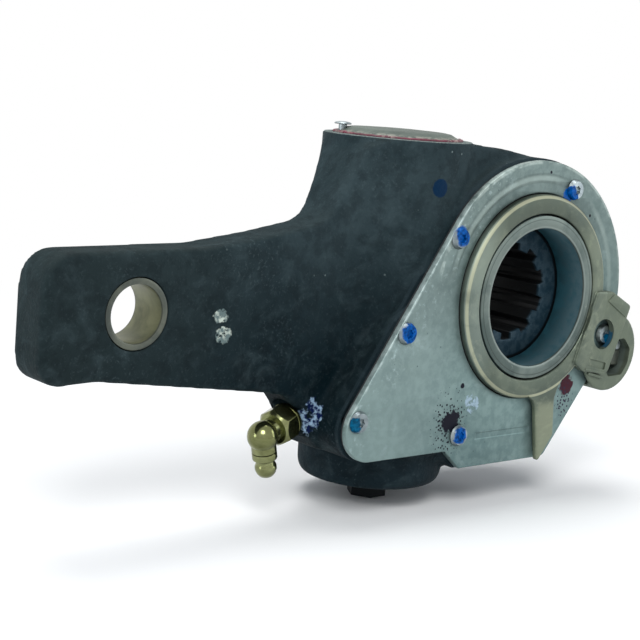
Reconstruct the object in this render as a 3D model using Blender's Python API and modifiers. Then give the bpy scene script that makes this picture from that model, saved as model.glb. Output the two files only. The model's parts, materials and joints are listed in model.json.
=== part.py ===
"""Automatic brake slack adjuster, built piece by piece in metres with +Z up.

The origin is on the axis of the splined bore, in the middle plane of the lever arm.
The arm points along -X, the cover faces -Y and the end cap is on top, at +Z.
The front frame is an empty turned so that its own x and y are X and Z, and its own z is
the level: how far a point lies in front of the arm's middle plane, towards the cover.
"""

import math

import bmesh
import bpy
from mathutils import Matrix, Vector

MM = 0.001
GAP = 0.3 * MM
RUNNING_GAP = 0.6 * MM

# Lever arm and its eye
ARM_LENGTH = 139.7 * MM
ARM_THICKNESS = 14.0 * MM
ARM_END_MARGIN = 28.6 * MM
ARM_CORNER = 9.0 * MM
ARM_LOW_CORNER = 6.5 * MM
ARM_TOP = 14.0 * MM
ARM_TOP_AT_ROOT = 21.9 * MM
ARM_RISE_FROM_EYE = 21.5 * MM
ARM_UNDERSIDE_AT_EYE = 20.8 * MM
ARM_UNDERSIDE_AT_ROOT = 28.0 * MM
ARM_FLARE_RADIUS = 12.0 * MM
ARM_FLARE_LEAN = 12.8 * MM
ARM_FRONT_FILLET = 30.0 * MM
ARM_BACK_FILLET = 30.0 * MM
GUSSET_LEFT = 86.0 * MM
EYE_DROP = 2.5 * MM
CLEVIS_PIN_BORE = 16.0 * MM
BUSH_WALL = 1.8 * MM

# Levels of the front pieces
RING_LEVEL = 23.3 * MM
RING_PROUD = 2.6 * MM
COVER_THICKNESS = 2.2 * MM
GASKET_THICKNESS = 0.5 * MM
DISC_THICKNESS = 3.0 * MM
COVER_FRONT = RING_LEVEL - RING_PROUD
COVER_BACK = COVER_FRONT - COVER_THICKNESS
GASKET_FRONT = COVER_BACK - GAP
GASKET_BACK = GASKET_FRONT - GASKET_THICKNESS
HOUSING_FACE = GASKET_BACK - GAP
DISC_FRONT = HOUSING_FACE - GAP
DISC_BACK = DISC_FRONT - DISC_THICKNESS

# Hub of the wheel and the ring of the control arm round it
HUB_NECK_RADIUS = 26.0 * MM
HUB_SHOULDER_RADIUS = HUB_NECK_RADIUS + 2.5 * MM
HUB_TAIL_RADIUS = HUB_NECK_RADIUS - 2.0 * MM
HUB_RECESS_RADIUS = HUB_NECK_RADIUS - 3.9 * MM
HUB_REAR_LEVEL = -28.0 * MM
HUB_RECESS_DEPTH = 12.0 * MM
SPLINE_TEETH = 10
SPLINE_MAJOR_RADIUS = 15.875 * MM
SPLINE_MINOR_RADIUS = SPLINE_MAJOR_RADIUS - 2.225 * MM
SPLINE_SPACE_WIDTH = 4.95 * MM
RING_WIDTH = 6.0 * MM
RING_CHAMFER = 0.6 * MM
RING_INNER_RADIUS = HUB_NECK_RADIUS + RUNNING_GAP
RING_OUTER_RADIUS = RING_INNER_RADIUS + RING_WIDTH

# Worm gearing: a single thread and a 24-tooth wheel
WHEEL_TEETH = 24
WHEEL_PITCH_RADIUS = HUB_NECK_RADIUS + 4.0 * MM
WHEEL_MODULE = 2 * WHEEL_PITCH_RADIUS / WHEEL_TEETH
WHEEL_WIDTH = 20.0 * MM
WORM_PITCH_RADIUS = 9.4 * MM
WORM_SHAFT_RADIUS = WORM_PITCH_RADIUS - 3.2 * MM
WORM_THREAD_LENGTH = 26.0 * MM
WORM_SET_BACK = 6.0 * MM
BACKLASH = 0.35 * MM
PRESSURE_ANGLE = math.radians(20.0)
WHEEL_TIP_RADIUS = WHEEL_PITCH_RADIUS + WHEEL_MODULE
WHEEL_ROOT_RADIUS = WHEEL_PITCH_RADIUS - 1.24 * WHEEL_MODULE
WORM_X = -(WHEEL_PITCH_RADIUS + WORM_PITCH_RADIUS)
WORM_LEAD = math.pi * WHEEL_MODULE
WORM_TIP_RADIUS = WORM_PITCH_RADIUS + WHEEL_MODULE

# Outline of the cover, seen from the front: a round top, a heel at the left and a toe at the right
COVER_MARGIN = 10.4 * MM
COVER_RADIUS = RING_OUTER_RADIUS + COVER_MARGIN
BOSS_RADIUS = HOUSING_FACE + WORM_SET_BACK - 0.1 * MM
HEEL = (WORM_X - BOSS_RADIUS - 1.8 * MM, 5.4 * MM - COVER_RADIUS)
HEEL_RADIUS = 9.8 * MM
TOE = (11.5 * MM, -COVER_RADIUS - 7.5 * MM)
TOE_RADIUS = 3.0 * MM
STEP_LEFT = WORM_X + 6.4 * MM
STEP_RIGHT = WORM_X + 13.4 * MM

# Cover screws: distances in from the cover's edge, and angles on its round top
SCREW_TOP_INSET = 5.9 * MM
SCREW_TOP_ANGLE = math.radians(66.8)
SCREW_LEFT_INSET = 2.7 * MM
SCREW_LEFT_ANGLE = math.radians(152.0)
SCREW_RIGHT_INSET = 3.6 * MM
SCREW_RIGHT_ANGLE = math.radians(-20.6)
SCREW_SIDE_INSET = 3.0 * MM
SCREW_SIDE_SHARE = 0.44
SCREW_SHANK_RADIUS = 1.9 * MM
SCREW_HEAD_RADIUS = 2.9 * MM
SCREW_HEAD_HEIGHT = 1.0 * MM
SCREW_SOCKET_RADIUS = 1.3 * MM
SCREW_SOCKET_DEPTH = 0.7 * MM
SCREW_LENGTH = 8.4 * MM

# Lug of the control arm, placed from the cover's edge, and the wear pointer
LUG_LEVEL = RING_LEVEL + 1.0 * MM
LUG_BACK = COVER_FRONT + RUNNING_GAP
LUG_HOLE_RADIUS = 5.1 * MM
LUG_HOLE = (COVER_RADIUS - 9.7 * MM, -13.2 * MM)
LUG_EYE_RADIUS = 13.3 * MM
LUG_EYE = (COVER_RADIUS - 3.8 * MM, -19.7 * MM)
LUG_EYE_DEPTH = 8.0 * MM
LUG_EYE_FRONT = LUG_LEVEL - 1.3 * MM
LUG_FLOOR_THICKNESS = 2.0 * MM
LUG_FACE_POINTS = (
    (-14.9 * MM, 1.2 * MM),
    (-7.2 * MM, 0.8 * MM),
    (-0.8 * MM, -2.0 * MM),
    (2.6 * MM, -4.6 * MM),
    (0.4 * MM, -10.0 * MM),
    (-1.3 * MM, -15.9 * MM),
    (-5.3 * MM, -26.2 * MM),
    (-7.3 * MM, -26.8 * MM),
    (-17.9 * MM, -25.4 * MM),
    (-22.6 * MM, -22.4 * MM),
)
LUG_WINDOW_POINTS = (
    (-0.9 * MM, -15.8 * MM),
    (3.2 * MM, -15.4 * MM),
    (6.8 * MM, -19.2 * MM),
    (6.2 * MM, -24.2 * MM),
    (3.6 * MM, -28.0 * MM),
    (-3.6 * MM, -28.2 * MM),
    (-4.8 * MM, -26.0 * MM),
)
LUG_BLOCK_LEFT = 1.4 * MM
LUG_BLOCK_RIGHT = 5.0 * MM
LUG_BLOCK_BOTTOM = -25.2 * MM
LUG_BLOCK_TOP = -20.2 * MM
LUG_PIN = (COVER_RADIUS + 3.3 * MM, -18.3 * MM)
POINTER_LEVEL = RING_LEVEL
POINTER_TIP = -COVER_RADIUS - 10.8 * MM

# Control disc, rack and clutch pinion
DISC_RADIUS = RING_OUTER_RADIUS + 0.9 * MM
EAR_ARM = DISC_RADIUS + 2.4 * MM
EAR_RADIUS = EAR_ARM + 3.5 * MM
EAR_HALF_ANGLE = math.radians(8.0)
SWING_UP = math.radians(20.0)
SWING_DOWN = math.radians(3.0)
RACK_Z = -EAR_ARM
RACK_HEIGHT = 5.0 * MM
RACK_PIN_RADIUS = 1.8 * MM
RACK_MODULE = 1.5 * MM
RACK_TEETH = 6
PINION_TEETH = 16
PINION_WIDTH = 7.6 * MM
PINION_PITCH_RADIUS = PINION_TEETH * RACK_MODULE / 2
RACK_PITCH_LEVEL = PINION_PITCH_RADIUS - WORM_SET_BACK
RACK_FRONT = DISC_BACK - 0.7 * MM
RACK_LEFT = WORM_X - 23.2 * MM
RACK_RIGHT = 3.4 * MM
RACK_SPRING_BORE = 1.6 * MM
RACK_SPRING_DEPTH = 9.0 * MM

# Worm boss of the housing, with what is stacked in it from the top down
HEAD_TOP = COVER_RADIUS + 3.9 * MM
LOWER_BORE_TOP = RACK_Z - 7.1 * MM
BOSS_BOTTOM = LOWER_BORE_TOP - 17.0 * MM
BOSS_CORNER = 2.8 * MM
WORM_BORE_RADIUS = WORM_TIP_RADIUS + 2.4 * MM
CAP_BORE_RADIUS = BOSS_RADIUS - 4.0 * MM
SPRING_CHAMBER_RADIUS = CAP_BORE_RADIUS - 4.0 * MM
CAP_DEPTH = 5.4 * MM
CAP_RIM_HEIGHT = 0.5 * MM
CAP_CONE_HEIGHT = 1.4 * MM
CAP_CONE_RUN = 2.4 * MM
CAP_CROWN = 0.5 * MM
STUD_ANGLE = math.radians(150.0)
STUD_INSET = 1.4 * MM
STUD_SHANK_RADIUS = 1.3 * MM
STUD_HEAD_RADIUS = 2.7 * MM
SEALANT_WIDTH = 1.1 * MM
SEALANT_HEIGHT = 0.9 * MM
WORM_COLLAR_RADIUS = WORM_SHAFT_RADIUS + 2.0 * MM
BEARING_SEAT = HUB_NECK_RADIUS - 5.4 * MM
BEARING_HEIGHT = 3.0 * MM
WASHER_HEIGHT = 2.0 * MM
SPRING_WIRE_RADIUS = 1.7 * MM
SPRING_TURNS = 2.75
COUPLING_TOP = 8.0 * MM - HUB_NECK_RADIUS
COUPLING_HEIGHT = 4.0 * MM
CLUTCH_SLEEVE_RADIUS = WORM_SHAFT_RADIUS + 2.2 * MM
CLUTCH_WIRE_RADIUS = 0.9 * MM
CLUTCH_TURNS = 4.5
LOWER_BORE_RADIUS = WORM_SHAFT_RADIUS + 4.3 * MM
LOWER_BUSH_LENGTH = 9.8 * MM
LOWER_SEAL_LENGTH = 2.6 * MM
HEX_ACROSS_FLATS = 11.1 * MM
HEX_LENGTH = 6.4 * MM

# Back of the housing
DRUM_RADIUS = COVER_RADIUS + 0.2 * MM
DRUM_FRONT = 14.0 * MM
DRUM_BACK = -27.0 * MM
DRUM_BACK_CHAMFER = 3.0 * MM
LOBE_BACK = -5.7 * MM
LIP = 0.6 * MM
REAR_WALL_FRONT = -17.9 * MM
WEB_BACK = -24.0 * MM

# Grease nipple, along its own axis from the seat outwards
NIPPLE_SEAT = (-80.0 * MM, -1.0 * MM, -37.3 * MM)
NIPPLE_DIRECTION = (-0.93, -0.25, -0.27)
NIPPLE_BOSS_RADIUS = 6.2 * MM
NIPPLE_STEM_RADIUS = 2.8 * MM
NIPPLE_STEM_LENGTH = 7.0 * MM
NIPPLE_COLLAR_RADIUS = 5.3 * MM
NIPPLE_COLLAR_HEIGHT = 1.5 * MM
NIPPLE_HEX_ACROSS_FLATS = 10.4 * MM
NIPPLE_HEX_HEIGHT = 6.0 * MM
NIPPLE_BALL_RADIUS = 4.6 * MM
NIPPLE_BALL_REACH = 12.8 * MM
NIPPLE_SOCKET_RADIUS = 2.3 * MM
NIPPLE_TIP_RADIUS = 3.25 * MM
NIPPLE_TIP_REACH = 12.6 * MM
CHECK_BALL_RADIUS = 1.1 * MM

# O-rings
HUB_SEAL_CORD = 0.8 * MM
RING_SEAL_CORD = 0.7 * MM
REAR_SEAL_CORD = 0.95 * MM

ROUND_STEPS = 56
BORE_STEPS = 54
SMALL_STEPS = 24


def clear_scene():
    for obj in list(bpy.data.objects):
        bpy.data.objects.remove(obj, do_unlink=True)


def new_collection(name):
    collection = bpy.data.collections.new(name)
    bpy.context.scene.collection.children.link(collection)
    return collection


clear_scene()
PARTS = new_collection("slack_adjuster")
TOOLS = new_collection("cutters_and_joined_solids")


def new_empty(name, location=(0, 0, 0), rotation=(0, 0, 0)):
    empty = bpy.data.objects.new(name, None)
    empty.location = location
    empty.rotation_euler = rotation
    empty.empty_display_size = 0.02
    PARTS.objects.link(empty)
    return empty


FRONT = new_empty("front_frame", rotation=(math.pi / 2, 0, 0))
WORM = new_empty("worm_frame", location=(WORM_X, WORM_SET_BACK, 0))


def nipple_rotation():
    """Own z runs out along the nipple and own x down along its nozzle."""
    out = Vector(NIPPLE_DIRECTION).normalized()
    down = (Vector((0, 0, -1)) - out * -out.z).normalized()
    return Matrix((down, out.cross(down), out)).transposed().to_euler()


NIPPLE = new_empty("nipple_frame", location=NIPPLE_SEAT, rotation=nipple_rotation())


def material(name, colour, roughness, metallic):
    made = bpy.data.materials.new(name)
    made.use_nodes = True
    shader = made.node_tree.nodes["Principled BSDF"]
    shader.inputs["Base Color"].default_value = (*colour, 1.0)
    shader.inputs["Roughness"].default_value = roughness
    shader.inputs["Metallic"].default_value = metallic
    return made


PAINT = material("painted_iron", (0.028, 0.038, 0.045), 0.55, 0.0)
COVER_ZINC = material("cover_zinc", (0.25, 0.33, 0.33), 0.4, 0.8)
ARM_ZINC = material("arm_zinc", (0.27, 0.3, 0.21), 0.42, 0.8)
BRIGHT_STEEL = material("bright_steel", (0.55, 0.56, 0.58), 0.3, 1.0)
GEAR_STEEL = material("gear_steel", (0.17, 0.2, 0.2), 0.45, 0.9)
DARK_STEEL = material("dark_steel", (0.02, 0.02, 0.02), 0.4, 0.7)
BRONZE = material("bronze", (0.3, 0.22, 0.1), 0.4, 0.9)
YELLOW_ZINC = material("yellow_zinc", (0.28, 0.27, 0.12), 0.3, 0.9)
CAP_STEEL = material("cap_steel", (0.27, 0.27, 0.25), 0.5, 0.6)
SEALANT = material("red_sealant", (0.2, 0.02, 0.05), 0.5, 0.0)
RUBBER = material("rubber", (0.012, 0.012, 0.012), 0.6, 0.0)
PAPER = material("gasket_paper", (0.05, 0.055, 0.06), 0.8, 0.0)


def add_object(name, data, parent, finish):
    """A piece with its finish, or a solid that only cuts or joins when the finish is None."""
    obj = bpy.data.objects.new(name, data)
    obj.parent = parent
    if finish is None:
        TOOLS.objects.link(obj)
        obj.hide_render = True
        obj.display_type = "WIRE"
    else:
        PARTS.objects.link(obj)
        data.materials.append(finish)
    return obj


def smooth(mesh):
    mesh.shade_smooth()
    mesh.set_sharp_from_angle(angle=math.radians(35))


def plate(name, outlines, low, high, parent=FRONT, finish=None):
    """A flat piece cut to its outlines, from one level to another along its frame's z."""
    curve = bpy.data.curves.new(name, "CURVE")
    curve.dimensions = "2D"
    curve.fill_mode = "BOTH"
    curve.extrude = (high - low) / 2
    for points in outlines:
        spline = curve.splines.new("POLY")
        spline.points.add(len(points) - 1)
        spline.use_cyclic_u = True
        for spot, (x, y) in zip(spline.points, points):
            spot.co = (x, y, 0, 1)
    flat = bpy.data.objects.new(name + "_outline", curve)
    TOOLS.objects.link(flat)
    graph = bpy.context.evaluated_depsgraph_get()
    mesh = bpy.data.meshes.new_from_object(flat.evaluated_get(graph))
    bpy.data.objects.remove(flat, do_unlink=True)
    bpy.data.curves.remove(curve)
    form = bmesh.new()
    form.from_mesh(mesh)
    bmesh.ops.remove_doubles(form, verts=form.verts, dist=1e-6)
    bmesh.ops.recalc_face_normals(form, faces=form.faces)
    bmesh.ops.translate(form, verts=form.verts, vec=(0, 0, (low + high) / 2))
    form.to_mesh(mesh)
    form.free()
    smooth(mesh)
    mesh.name = name
    return add_object(name, mesh, parent, finish)


def turned(name, profile, parent=FRONT, finish=None, steps=ROUND_STEPS, place=(0, 0)):
    """A turned piece. The profile runs out along the top, down the outer side and back in."""
    closed = profile[0][0] > 1e-9
    mesh = bpy.data.meshes.new(name)
    ends = [(i, i + 1) for i in range(len(profile) - 1)]
    if closed:
        ends.append((len(profile) - 1, 0))
    mesh.from_pydata([(r, 0, z) for r, z in profile], ends, [])
    obj = add_object(name, mesh, parent, finish)
    obj.location = (*place, 0)
    screw = obj.modifiers.new("turn", "SCREW")
    screw.steps = screw.render_steps = steps
    screw.use_merge_vertices = True
    screw.merge_threshold = 1e-6
    return obj


def ring_profile(inner, outer, low, high):
    return [(inner, high), (outer, high), (outer, low), (inner, low)]


def rod_profile(radius, low, high):
    return [(0, high), (radius, high), (radius, low), (0, low)]


def swept(name, sections, parent, finish=None):
    """A closed solid through equal loops of points, with its two ends filled."""
    form = bmesh.new()
    rows = [[form.verts.new(point) for point in section] for section in sections]
    for lower, upper in zip(rows, rows[1:]):
        for i, start in enumerate(lower):
            j = (i + 1) % len(lower)
            form.faces.new((start, lower[j], upper[j], upper[i]))
    form.faces.new(rows[0])
    form.faces.new(rows[-1])
    bmesh.ops.recalc_face_normals(form, faces=form.faces)
    mesh = bpy.data.meshes.new(name)
    form.to_mesh(mesh)
    form.free()
    smooth(mesh)
    return add_object(name, mesh, parent, finish)


def o_ring(name, radius, cord, level, parent=FRONT):
    bpy.ops.mesh.primitive_torus_add(
        major_radius=radius, minor_radius=cord, major_segments=ROUND_STEPS, minor_segments=6
    )
    made = bpy.context.object
    mesh = made.data
    bpy.data.objects.remove(made, do_unlink=True)
    smooth(mesh)
    obj = add_object(name, mesh, parent, RUBBER)
    obj.location = (0, 0, level)
    return obj


def coil(name, radius, wire, turns, low, high, parent, finish, points_per_turn=12):
    """A helical spring whose wire ends lie inside the two levels."""
    curve = bpy.data.curves.new(name, "CURVE")
    curve.dimensions = "3D"
    curve.bevel_depth = wire
    curve.bevel_resolution = 2
    curve.use_fill_caps = True
    count = round(turns * points_per_turn)
    spline = curve.splines.new("POLY")
    spline.points.add(count)
    for i, spot in enumerate(spline.points):
        angle = 2 * math.pi * turns * i / count
        height = low + wire + (high - low - 2 * wire) * i / count
        spot.co = (radius * math.cos(angle), radius * math.sin(angle), height, 1)
    return add_object(name, curve, parent, finish)


def combine(obj, tool, operation):
    modifier = obj.modifiers.new(tool.name, "BOOLEAN")
    modifier.operation = operation
    modifier.solver = "EXACT"
    modifier.object = tool


def join(obj, *tools):
    for tool in tools:
        combine(obj, tool, "UNION")


def cut(obj, *tools):
    for tool in tools:
        combine(obj, tool, "DIFFERENCE")


def close_seams():
    """Welds the points that the cuts and joins leave beside each other."""
    for obj in PARTS.objects:
        if any(modifier.type == "BOOLEAN" for modifier in obj.modifiers):
            weld = obj.modifiers.new("close_seams", "WELD")
            weld.merge_threshold = 3e-6


def arc(centre, radius, start, end, step=math.radians(7.5)):
    """Points on an arc, from one angle to another in radians."""
    count = max(1, math.ceil(abs(end - start) / step))
    angles = [start + (end - start) * i / count for i in range(count + 1)]
    return [(centre[0] + radius * math.cos(a), centre[1] + radius * math.sin(a)) for a in angles]


def circle(centre, radius, count=SMALL_STEPS):
    return arc(centre, radius, 0, 2 * math.pi, 2 * math.pi / count)[:-1]


def box_outline(left, right, bottom, top):
    return [(left, bottom), (right, bottom), (right, top), (left, top)]


def tangent_angle(centre, radius, side):
    """Where the line that touches the cover's round top and a corner circle leaves them."""
    away = math.atan2(centre[1], centre[0])
    spread = math.acos((COVER_RADIUS - radius) / math.hypot(*centre))
    return away + side * spread


def cover_outline(grow):
    heel = tangent_angle(HEEL, HEEL_RADIUS, -1) + 2 * math.pi
    toe = tangent_angle(TOE, TOE_RADIUS, 1)
    toe_bottom = TOE[1] - TOE_RADIUS - grow
    heel_bottom = HEEL[1] - HEEL_RADIUS - grow
    down = -math.pi / 2
    return [
        *arc((0, 0), COVER_RADIUS + grow, heel, toe),
        *arc(TOE, TOE_RADIUS + grow, toe, down, math.radians(20)),
        (STEP_RIGHT - grow / 2, toe_bottom),
        (STEP_LEFT - grow / 2, heel_bottom),
        *arc(HEEL, HEEL_RADIUS + grow, down, heel - 2 * math.pi, math.radians(12)),
    ]


def hollow_corner(before, corner, after, radius):
    """Arc that fills the hollow corner of an outline which runs clockwise."""
    back = (Vector(before) - Vector(corner)).normalized()
    ahead = (Vector(after) - Vector(corner)).normalized()
    half = back.angle(ahead) / 2
    middle = Vector(corner) + (back + ahead).normalized() * (radius / math.sin(half))
    first = math.atan2(-back.x, back.y) + math.pi
    return arc(middle, radius, first, first + math.pi - 2 * half, math.radians(10))


def arm_side_view():
    """The lever from the front: eye end, rise and flare up to the head, gusset under the root."""
    left = -(ARM_LENGTH + ARM_END_MARGIN)
    inside = WORM_X - BOSS_RADIUS * 0.2
    root = WORM_X - BOSS_RADIUS + 0.3 * MM
    rise = (ARM_RISE_FROM_EYE - ARM_LENGTH, ARM_TOP + 0.7 * MM)
    foot = (root - ARM_FLARE_LEAN, ARM_TOP_AT_ROOT)
    halfway = ((rise[0] + foot[0]) / 2, (rise[1] + foot[1]) / 2 - 0.5 * MM)
    head = (root, HEAD_TOP - 2.5 * MM)
    top_corner = (left + ARM_CORNER, ARM_TOP - ARM_CORNER)
    low_corner = (left + ARM_LOW_CORNER, -ARM_UNDERSIDE_AT_EYE + ARM_LOW_CORNER)
    heel_bottom = HEEL[1] - HEEL_RADIUS
    return [
        *arc(top_corner, ARM_CORNER, math.pi, math.pi / 2, math.radians(15)),
        rise,
        halfway,
        *hollow_corner(halfway, foot, head, ARM_FLARE_RADIUS),
        head,
        (root + 4.0 * MM, HEAD_TOP - 1.0 * MM),
        (inside, HEAD_TOP - 1.0 * MM),
        (inside, heel_bottom + 0.5 * MM),
        (HEEL[0] - 8.0 * MM, heel_bottom + 1.0 * MM),
        (-GUSSET_LEFT, -ARM_UNDERSIDE_AT_ROOT - 1.0 * MM),
        (-GUSSET_LEFT - 8.0 * MM, -ARM_UNDERSIDE_AT_ROOT + 0.6 * MM),
        (-ARM_LENGTH - 11.0 * MM, -ARM_UNDERSIDE_AT_EYE + 0.5 * MM),
        *arc(low_corner, ARM_LOW_CORNER, -math.pi / 2, -math.pi, math.radians(15)),
    ]


def fillet_to_boss(radius, half_thickness, side):
    """Centre and last angle of the plan fillet between the arm's face and the worm boss."""
    y = side * (half_thickness + radius)
    rise = y - WORM_SET_BACK
    run = math.sqrt((BOSS_RADIUS + radius) ** 2 - rise**2)
    return (WORM_X - run, y), math.atan2(-rise, run)


def arm_plan_view():
    """The lever from above: two flat faces that swell out to the worm boss."""
    half = ARM_THICKNESS / 2
    left = -(ARM_LENGTH + ARM_END_MARGIN) - 2 * MM
    inside = WORM_X - BOSS_RADIUS * 0.2
    front, front_end = fillet_to_boss(ARM_FRONT_FILLET, half, -1)
    back, back_end = fillet_to_boss(ARM_BACK_FILLET, half, 1)
    step = math.radians(9)
    front_curve = arc(front, ARM_FRONT_FILLET, math.pi / 2, front_end, step)
    back_curve = arc(back, ARM_BACK_FILLET, -math.pi / 2, back_end, step)
    return [
        (left, -half),
        *front_curve,
        (inside, front_curve[-1][1]),
        (inside, back_curve[-1][1]),
        *reversed(back_curve),
        (left, half),
    ]


def boss_solid():
    high = HEAD_TOP - 0.8 * MM
    low = BOSS_BOTTOM + BOSS_CORNER
    draft = 0.5 * MM
    profile = [
        (0, HEAD_TOP),
        (BOSS_RADIUS - 0.8 * MM, HEAD_TOP),
        (BOSS_RADIUS, high),
        (BOSS_RADIUS, HEEL[1]),
        (BOSS_RADIUS - draft, low),
        (BOSS_RADIUS - draft - 0.8 * MM, low - 1.8 * MM),
        (BOSS_RADIUS - draft - BOSS_CORNER, BOSS_BOTTOM),
        (0, BOSS_BOTTOM),
    ]
    return turned("housing_worm_boss", profile, WORM)


def drum_profile():
    back = DRUM_BACK + DRUM_BACK_CHAMFER
    return [
        (0, DRUM_FRONT),
        (DRUM_RADIUS, DRUM_FRONT),
        (DRUM_RADIUS, back),
        (DRUM_RADIUS - DRUM_BACK_CHAMFER, DRUM_BACK),
        (0, DRUM_BACK),
    ]


def build_housing():
    """The cast body: wheel drum, worm boss, lever arm, cover flange and every chamber."""
    housing = turned("housing", drum_profile(), FRONT, PAINT)
    web_outline = [
        (WORM_X, HEEL[1] - HEEL_RADIUS + 2.4 * MM),
        (0, DRUM_RADIUS * -0.8),
        (6.0 * MM, DRUM_RADIUS - 0.8 * MM),
        (-3.0 * MM, DRUM_RADIUS + 1.2 * MM),
        (-12.0 * MM, HEAD_TOP - 1.2 * MM),
        (WORM_X + BOSS_RADIUS * 0.75, HEAD_TOP - 0.8 * MM),
        (WORM_X, HEAD_TOP - 1.0 * MM),
    ]
    arm = plate(
        "housing_arm",
        [arm_side_view()],
        -BOSS_RADIUS - WORM_SET_BACK - 5 * MM,
        HOUSING_FACE - 1 * MM,
    )
    arm_plan = plate("housing_arm_plan", [arm_plan_view()], -80 * MM, 80 * MM, None)
    combine(arm, arm_plan, "INTERSECT")
    seat = turned("housing_nipple_boss", rod_profile(NIPPLE_BOSS_RADIUS, -16 * MM, 2 * MM), NIPPLE, steps=SMALL_STEPS)
    join(
        housing,
        boss_solid(),
        plate("housing_flange", [cover_outline(LIP)], LOBE_BACK, HOUSING_FACE),
        plate("housing_web", [web_outline], WEB_BACK, DRUM_FRONT - 0.5 * MM),
        arm,
        seat,
    )
    cut(housing, *housing_chambers(), *screw_holes())
    return housing


def housing_chambers():
    above = HOUSING_FACE + 1 * MM
    pocket_floor = DISC_BACK - 0.5 * MM
    swing_low = -math.pi / 2 - SWING_DOWN - EAR_HALF_ANGLE - math.radians(1.5)
    swing_high = -math.pi / 2 + SWING_UP + EAR_HALF_ANGLE + math.radians(1.5)
    ear_room = [
        *arc((0, 0), EAR_RADIUS + 0.9 * MM, swing_low, swing_high),
        *arc((0, 0), DISC_RADIUS - 3.5 * MM, swing_high, swing_low),
    ]
    travel_right = EAR_ARM * math.tan(SWING_UP)
    channel = box_outline(
        RACK_LEFT - EAR_ARM * SWING_DOWN - 1.6 * MM,
        RACK_RIGHT + travel_right + 0.6 * MM,
        RACK_Z - RACK_HEIGHT / 2 - 0.4 * MM,
        RACK_Z + RACK_HEIGHT / 2 + 0.4 * MM,
    )
    eye = circle((-ARM_LENGTH, -EYE_DROP), BUSH_RADIUS + GAP, 40)
    spot_face = [
        (0, 12 * MM),
        (NIPPLE_BOSS_RADIUS + 0.8 * MM, 12 * MM),
        (NIPPLE_BOSS_RADIUS + 0.8 * MM, 0),
        (NIPPLE_STEM_RADIUS + GAP, 0),
        (NIPPLE_STEM_RADIUS + GAP, -30 * MM),
        (0, -30 * MM),
    ]
    return [
        turned("wheel_chamber", wheel_chamber_profile(pocket_floor, above), steps=BORE_STEPS),
        plate("ear_pocket", [ear_room], pocket_floor, above),
        plate("rack_channel", [channel], RACK_PITCH_LEVEL - RACK_MODULE - 0.4 * MM, above),
        turned("worm_chamber", worm_chamber_profile(), WORM, steps=BORE_STEPS),
        plate("eye_hole", [eye], -ARM_THICKNESS, ARM_THICKNESS),
        turned("nipple_spot_face", spot_face, NIPPLE, steps=SMALL_STEPS),
    ]


def wheel_chamber_profile(pocket_floor, above):
    """Disc pocket, wheel room and tail bore with its seal groove, all on the spline axis."""
    pocket = DISC_RADIUS + 0.5 * MM
    room = WHEEL_TIP_RADIUS + 0.7 * MM
    tail = HUB_TAIL_RADIUS + GAP
    groove = tail + 2 * REAR_SEAL_CORD - 0.1 * MM
    groove_high = REAR_SEAL_LEVEL + 1.4 * REAR_SEAL_CORD
    groove_low = REAR_SEAL_LEVEL - 1.4 * REAR_SEAL_CORD
    return [
        (0, above),
        (pocket, above),
        (pocket, pocket_floor),
        (room, pocket_floor),
        (room, REAR_WALL_FRONT),
        (tail, REAR_WALL_FRONT),
        (tail, groove_high),
        (groove, groove_high),
        (groove, groove_low),
        (tail, groove_low),
        (tail, DRUM_BACK - 1 * MM),
        (0, DRUM_BACK - 1 * MM),
    ]


def worm_chamber_profile():
    """Cap bore, spring chamber, worm bore, bush bore and shaft hole, from the top down."""
    spring_floor = BEARING_SEAT + BEARING_HEIGHT
    seal_floor = SEAL_BOTTOM - GAP
    hole = WORM_SHAFT_RADIUS + RUNNING_GAP
    return [
        (0, HEAD_TOP + 1 * MM),
        (CAP_BORE_RADIUS, HEAD_TOP + 1 * MM),
        (CAP_BORE_RADIUS, CAP_SEAT),
        (SPRING_CHAMBER_RADIUS, CAP_SEAT),
        (SPRING_CHAMBER_RADIUS, spring_floor),
        (WORM_BORE_RADIUS, spring_floor),
        (WORM_BORE_RADIUS, LOWER_BORE_TOP),
        (LOWER_BORE_RADIUS, LOWER_BORE_TOP),
        (LOWER_BORE_RADIUS, seal_floor),
        (hole, seal_floor),
        (hole, BOSS_BOTTOM - 1 * MM),
        (0, BOSS_BOTTOM - 1 * MM),
    ]


def screw_holes():
    bottom = COVER_FRONT + GAP - SCREW_LENGTH - 0.6 * MM
    return [
        plate(f"screw_hole_{i}", [circle(place, SCREW_SHANK_RADIUS + GAP, 16)], bottom, HOUSING_FACE + 1 * MM)
        for i, place in enumerate(SCREW_PLACES, 1)
    ]


def build_bush():
    half = ARM_THICKNESS / 2 - 0.2 * MM
    profile = ring_profile(CLEVIS_PIN_BORE / 2, BUSH_RADIUS, -half, half)
    turned("clevis_bush", profile, FRONT, BRONZE, 40, (-ARM_LENGTH, -EYE_DROP))


def build_cover():
    holes = [circle(place, SCREW_SHANK_RADIUS + GAP, 16) for place in SCREW_PLACES]
    opening = circle((0, 0), RING_OUTER_RADIUS + GAP, ROUND_STEPS)
    plate("cover", [cover_outline(0), opening, *holes], COVER_BACK, COVER_FRONT, FRONT, COVER_ZINC)
    inner = circle((0, 0), DISC_RADIUS, ROUND_STEPS)
    outline = cover_outline(-0.4 * MM)
    plate("cover_gasket", [outline, inner, *holes], GASKET_BACK, GASKET_FRONT, FRONT, PAPER)


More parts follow.
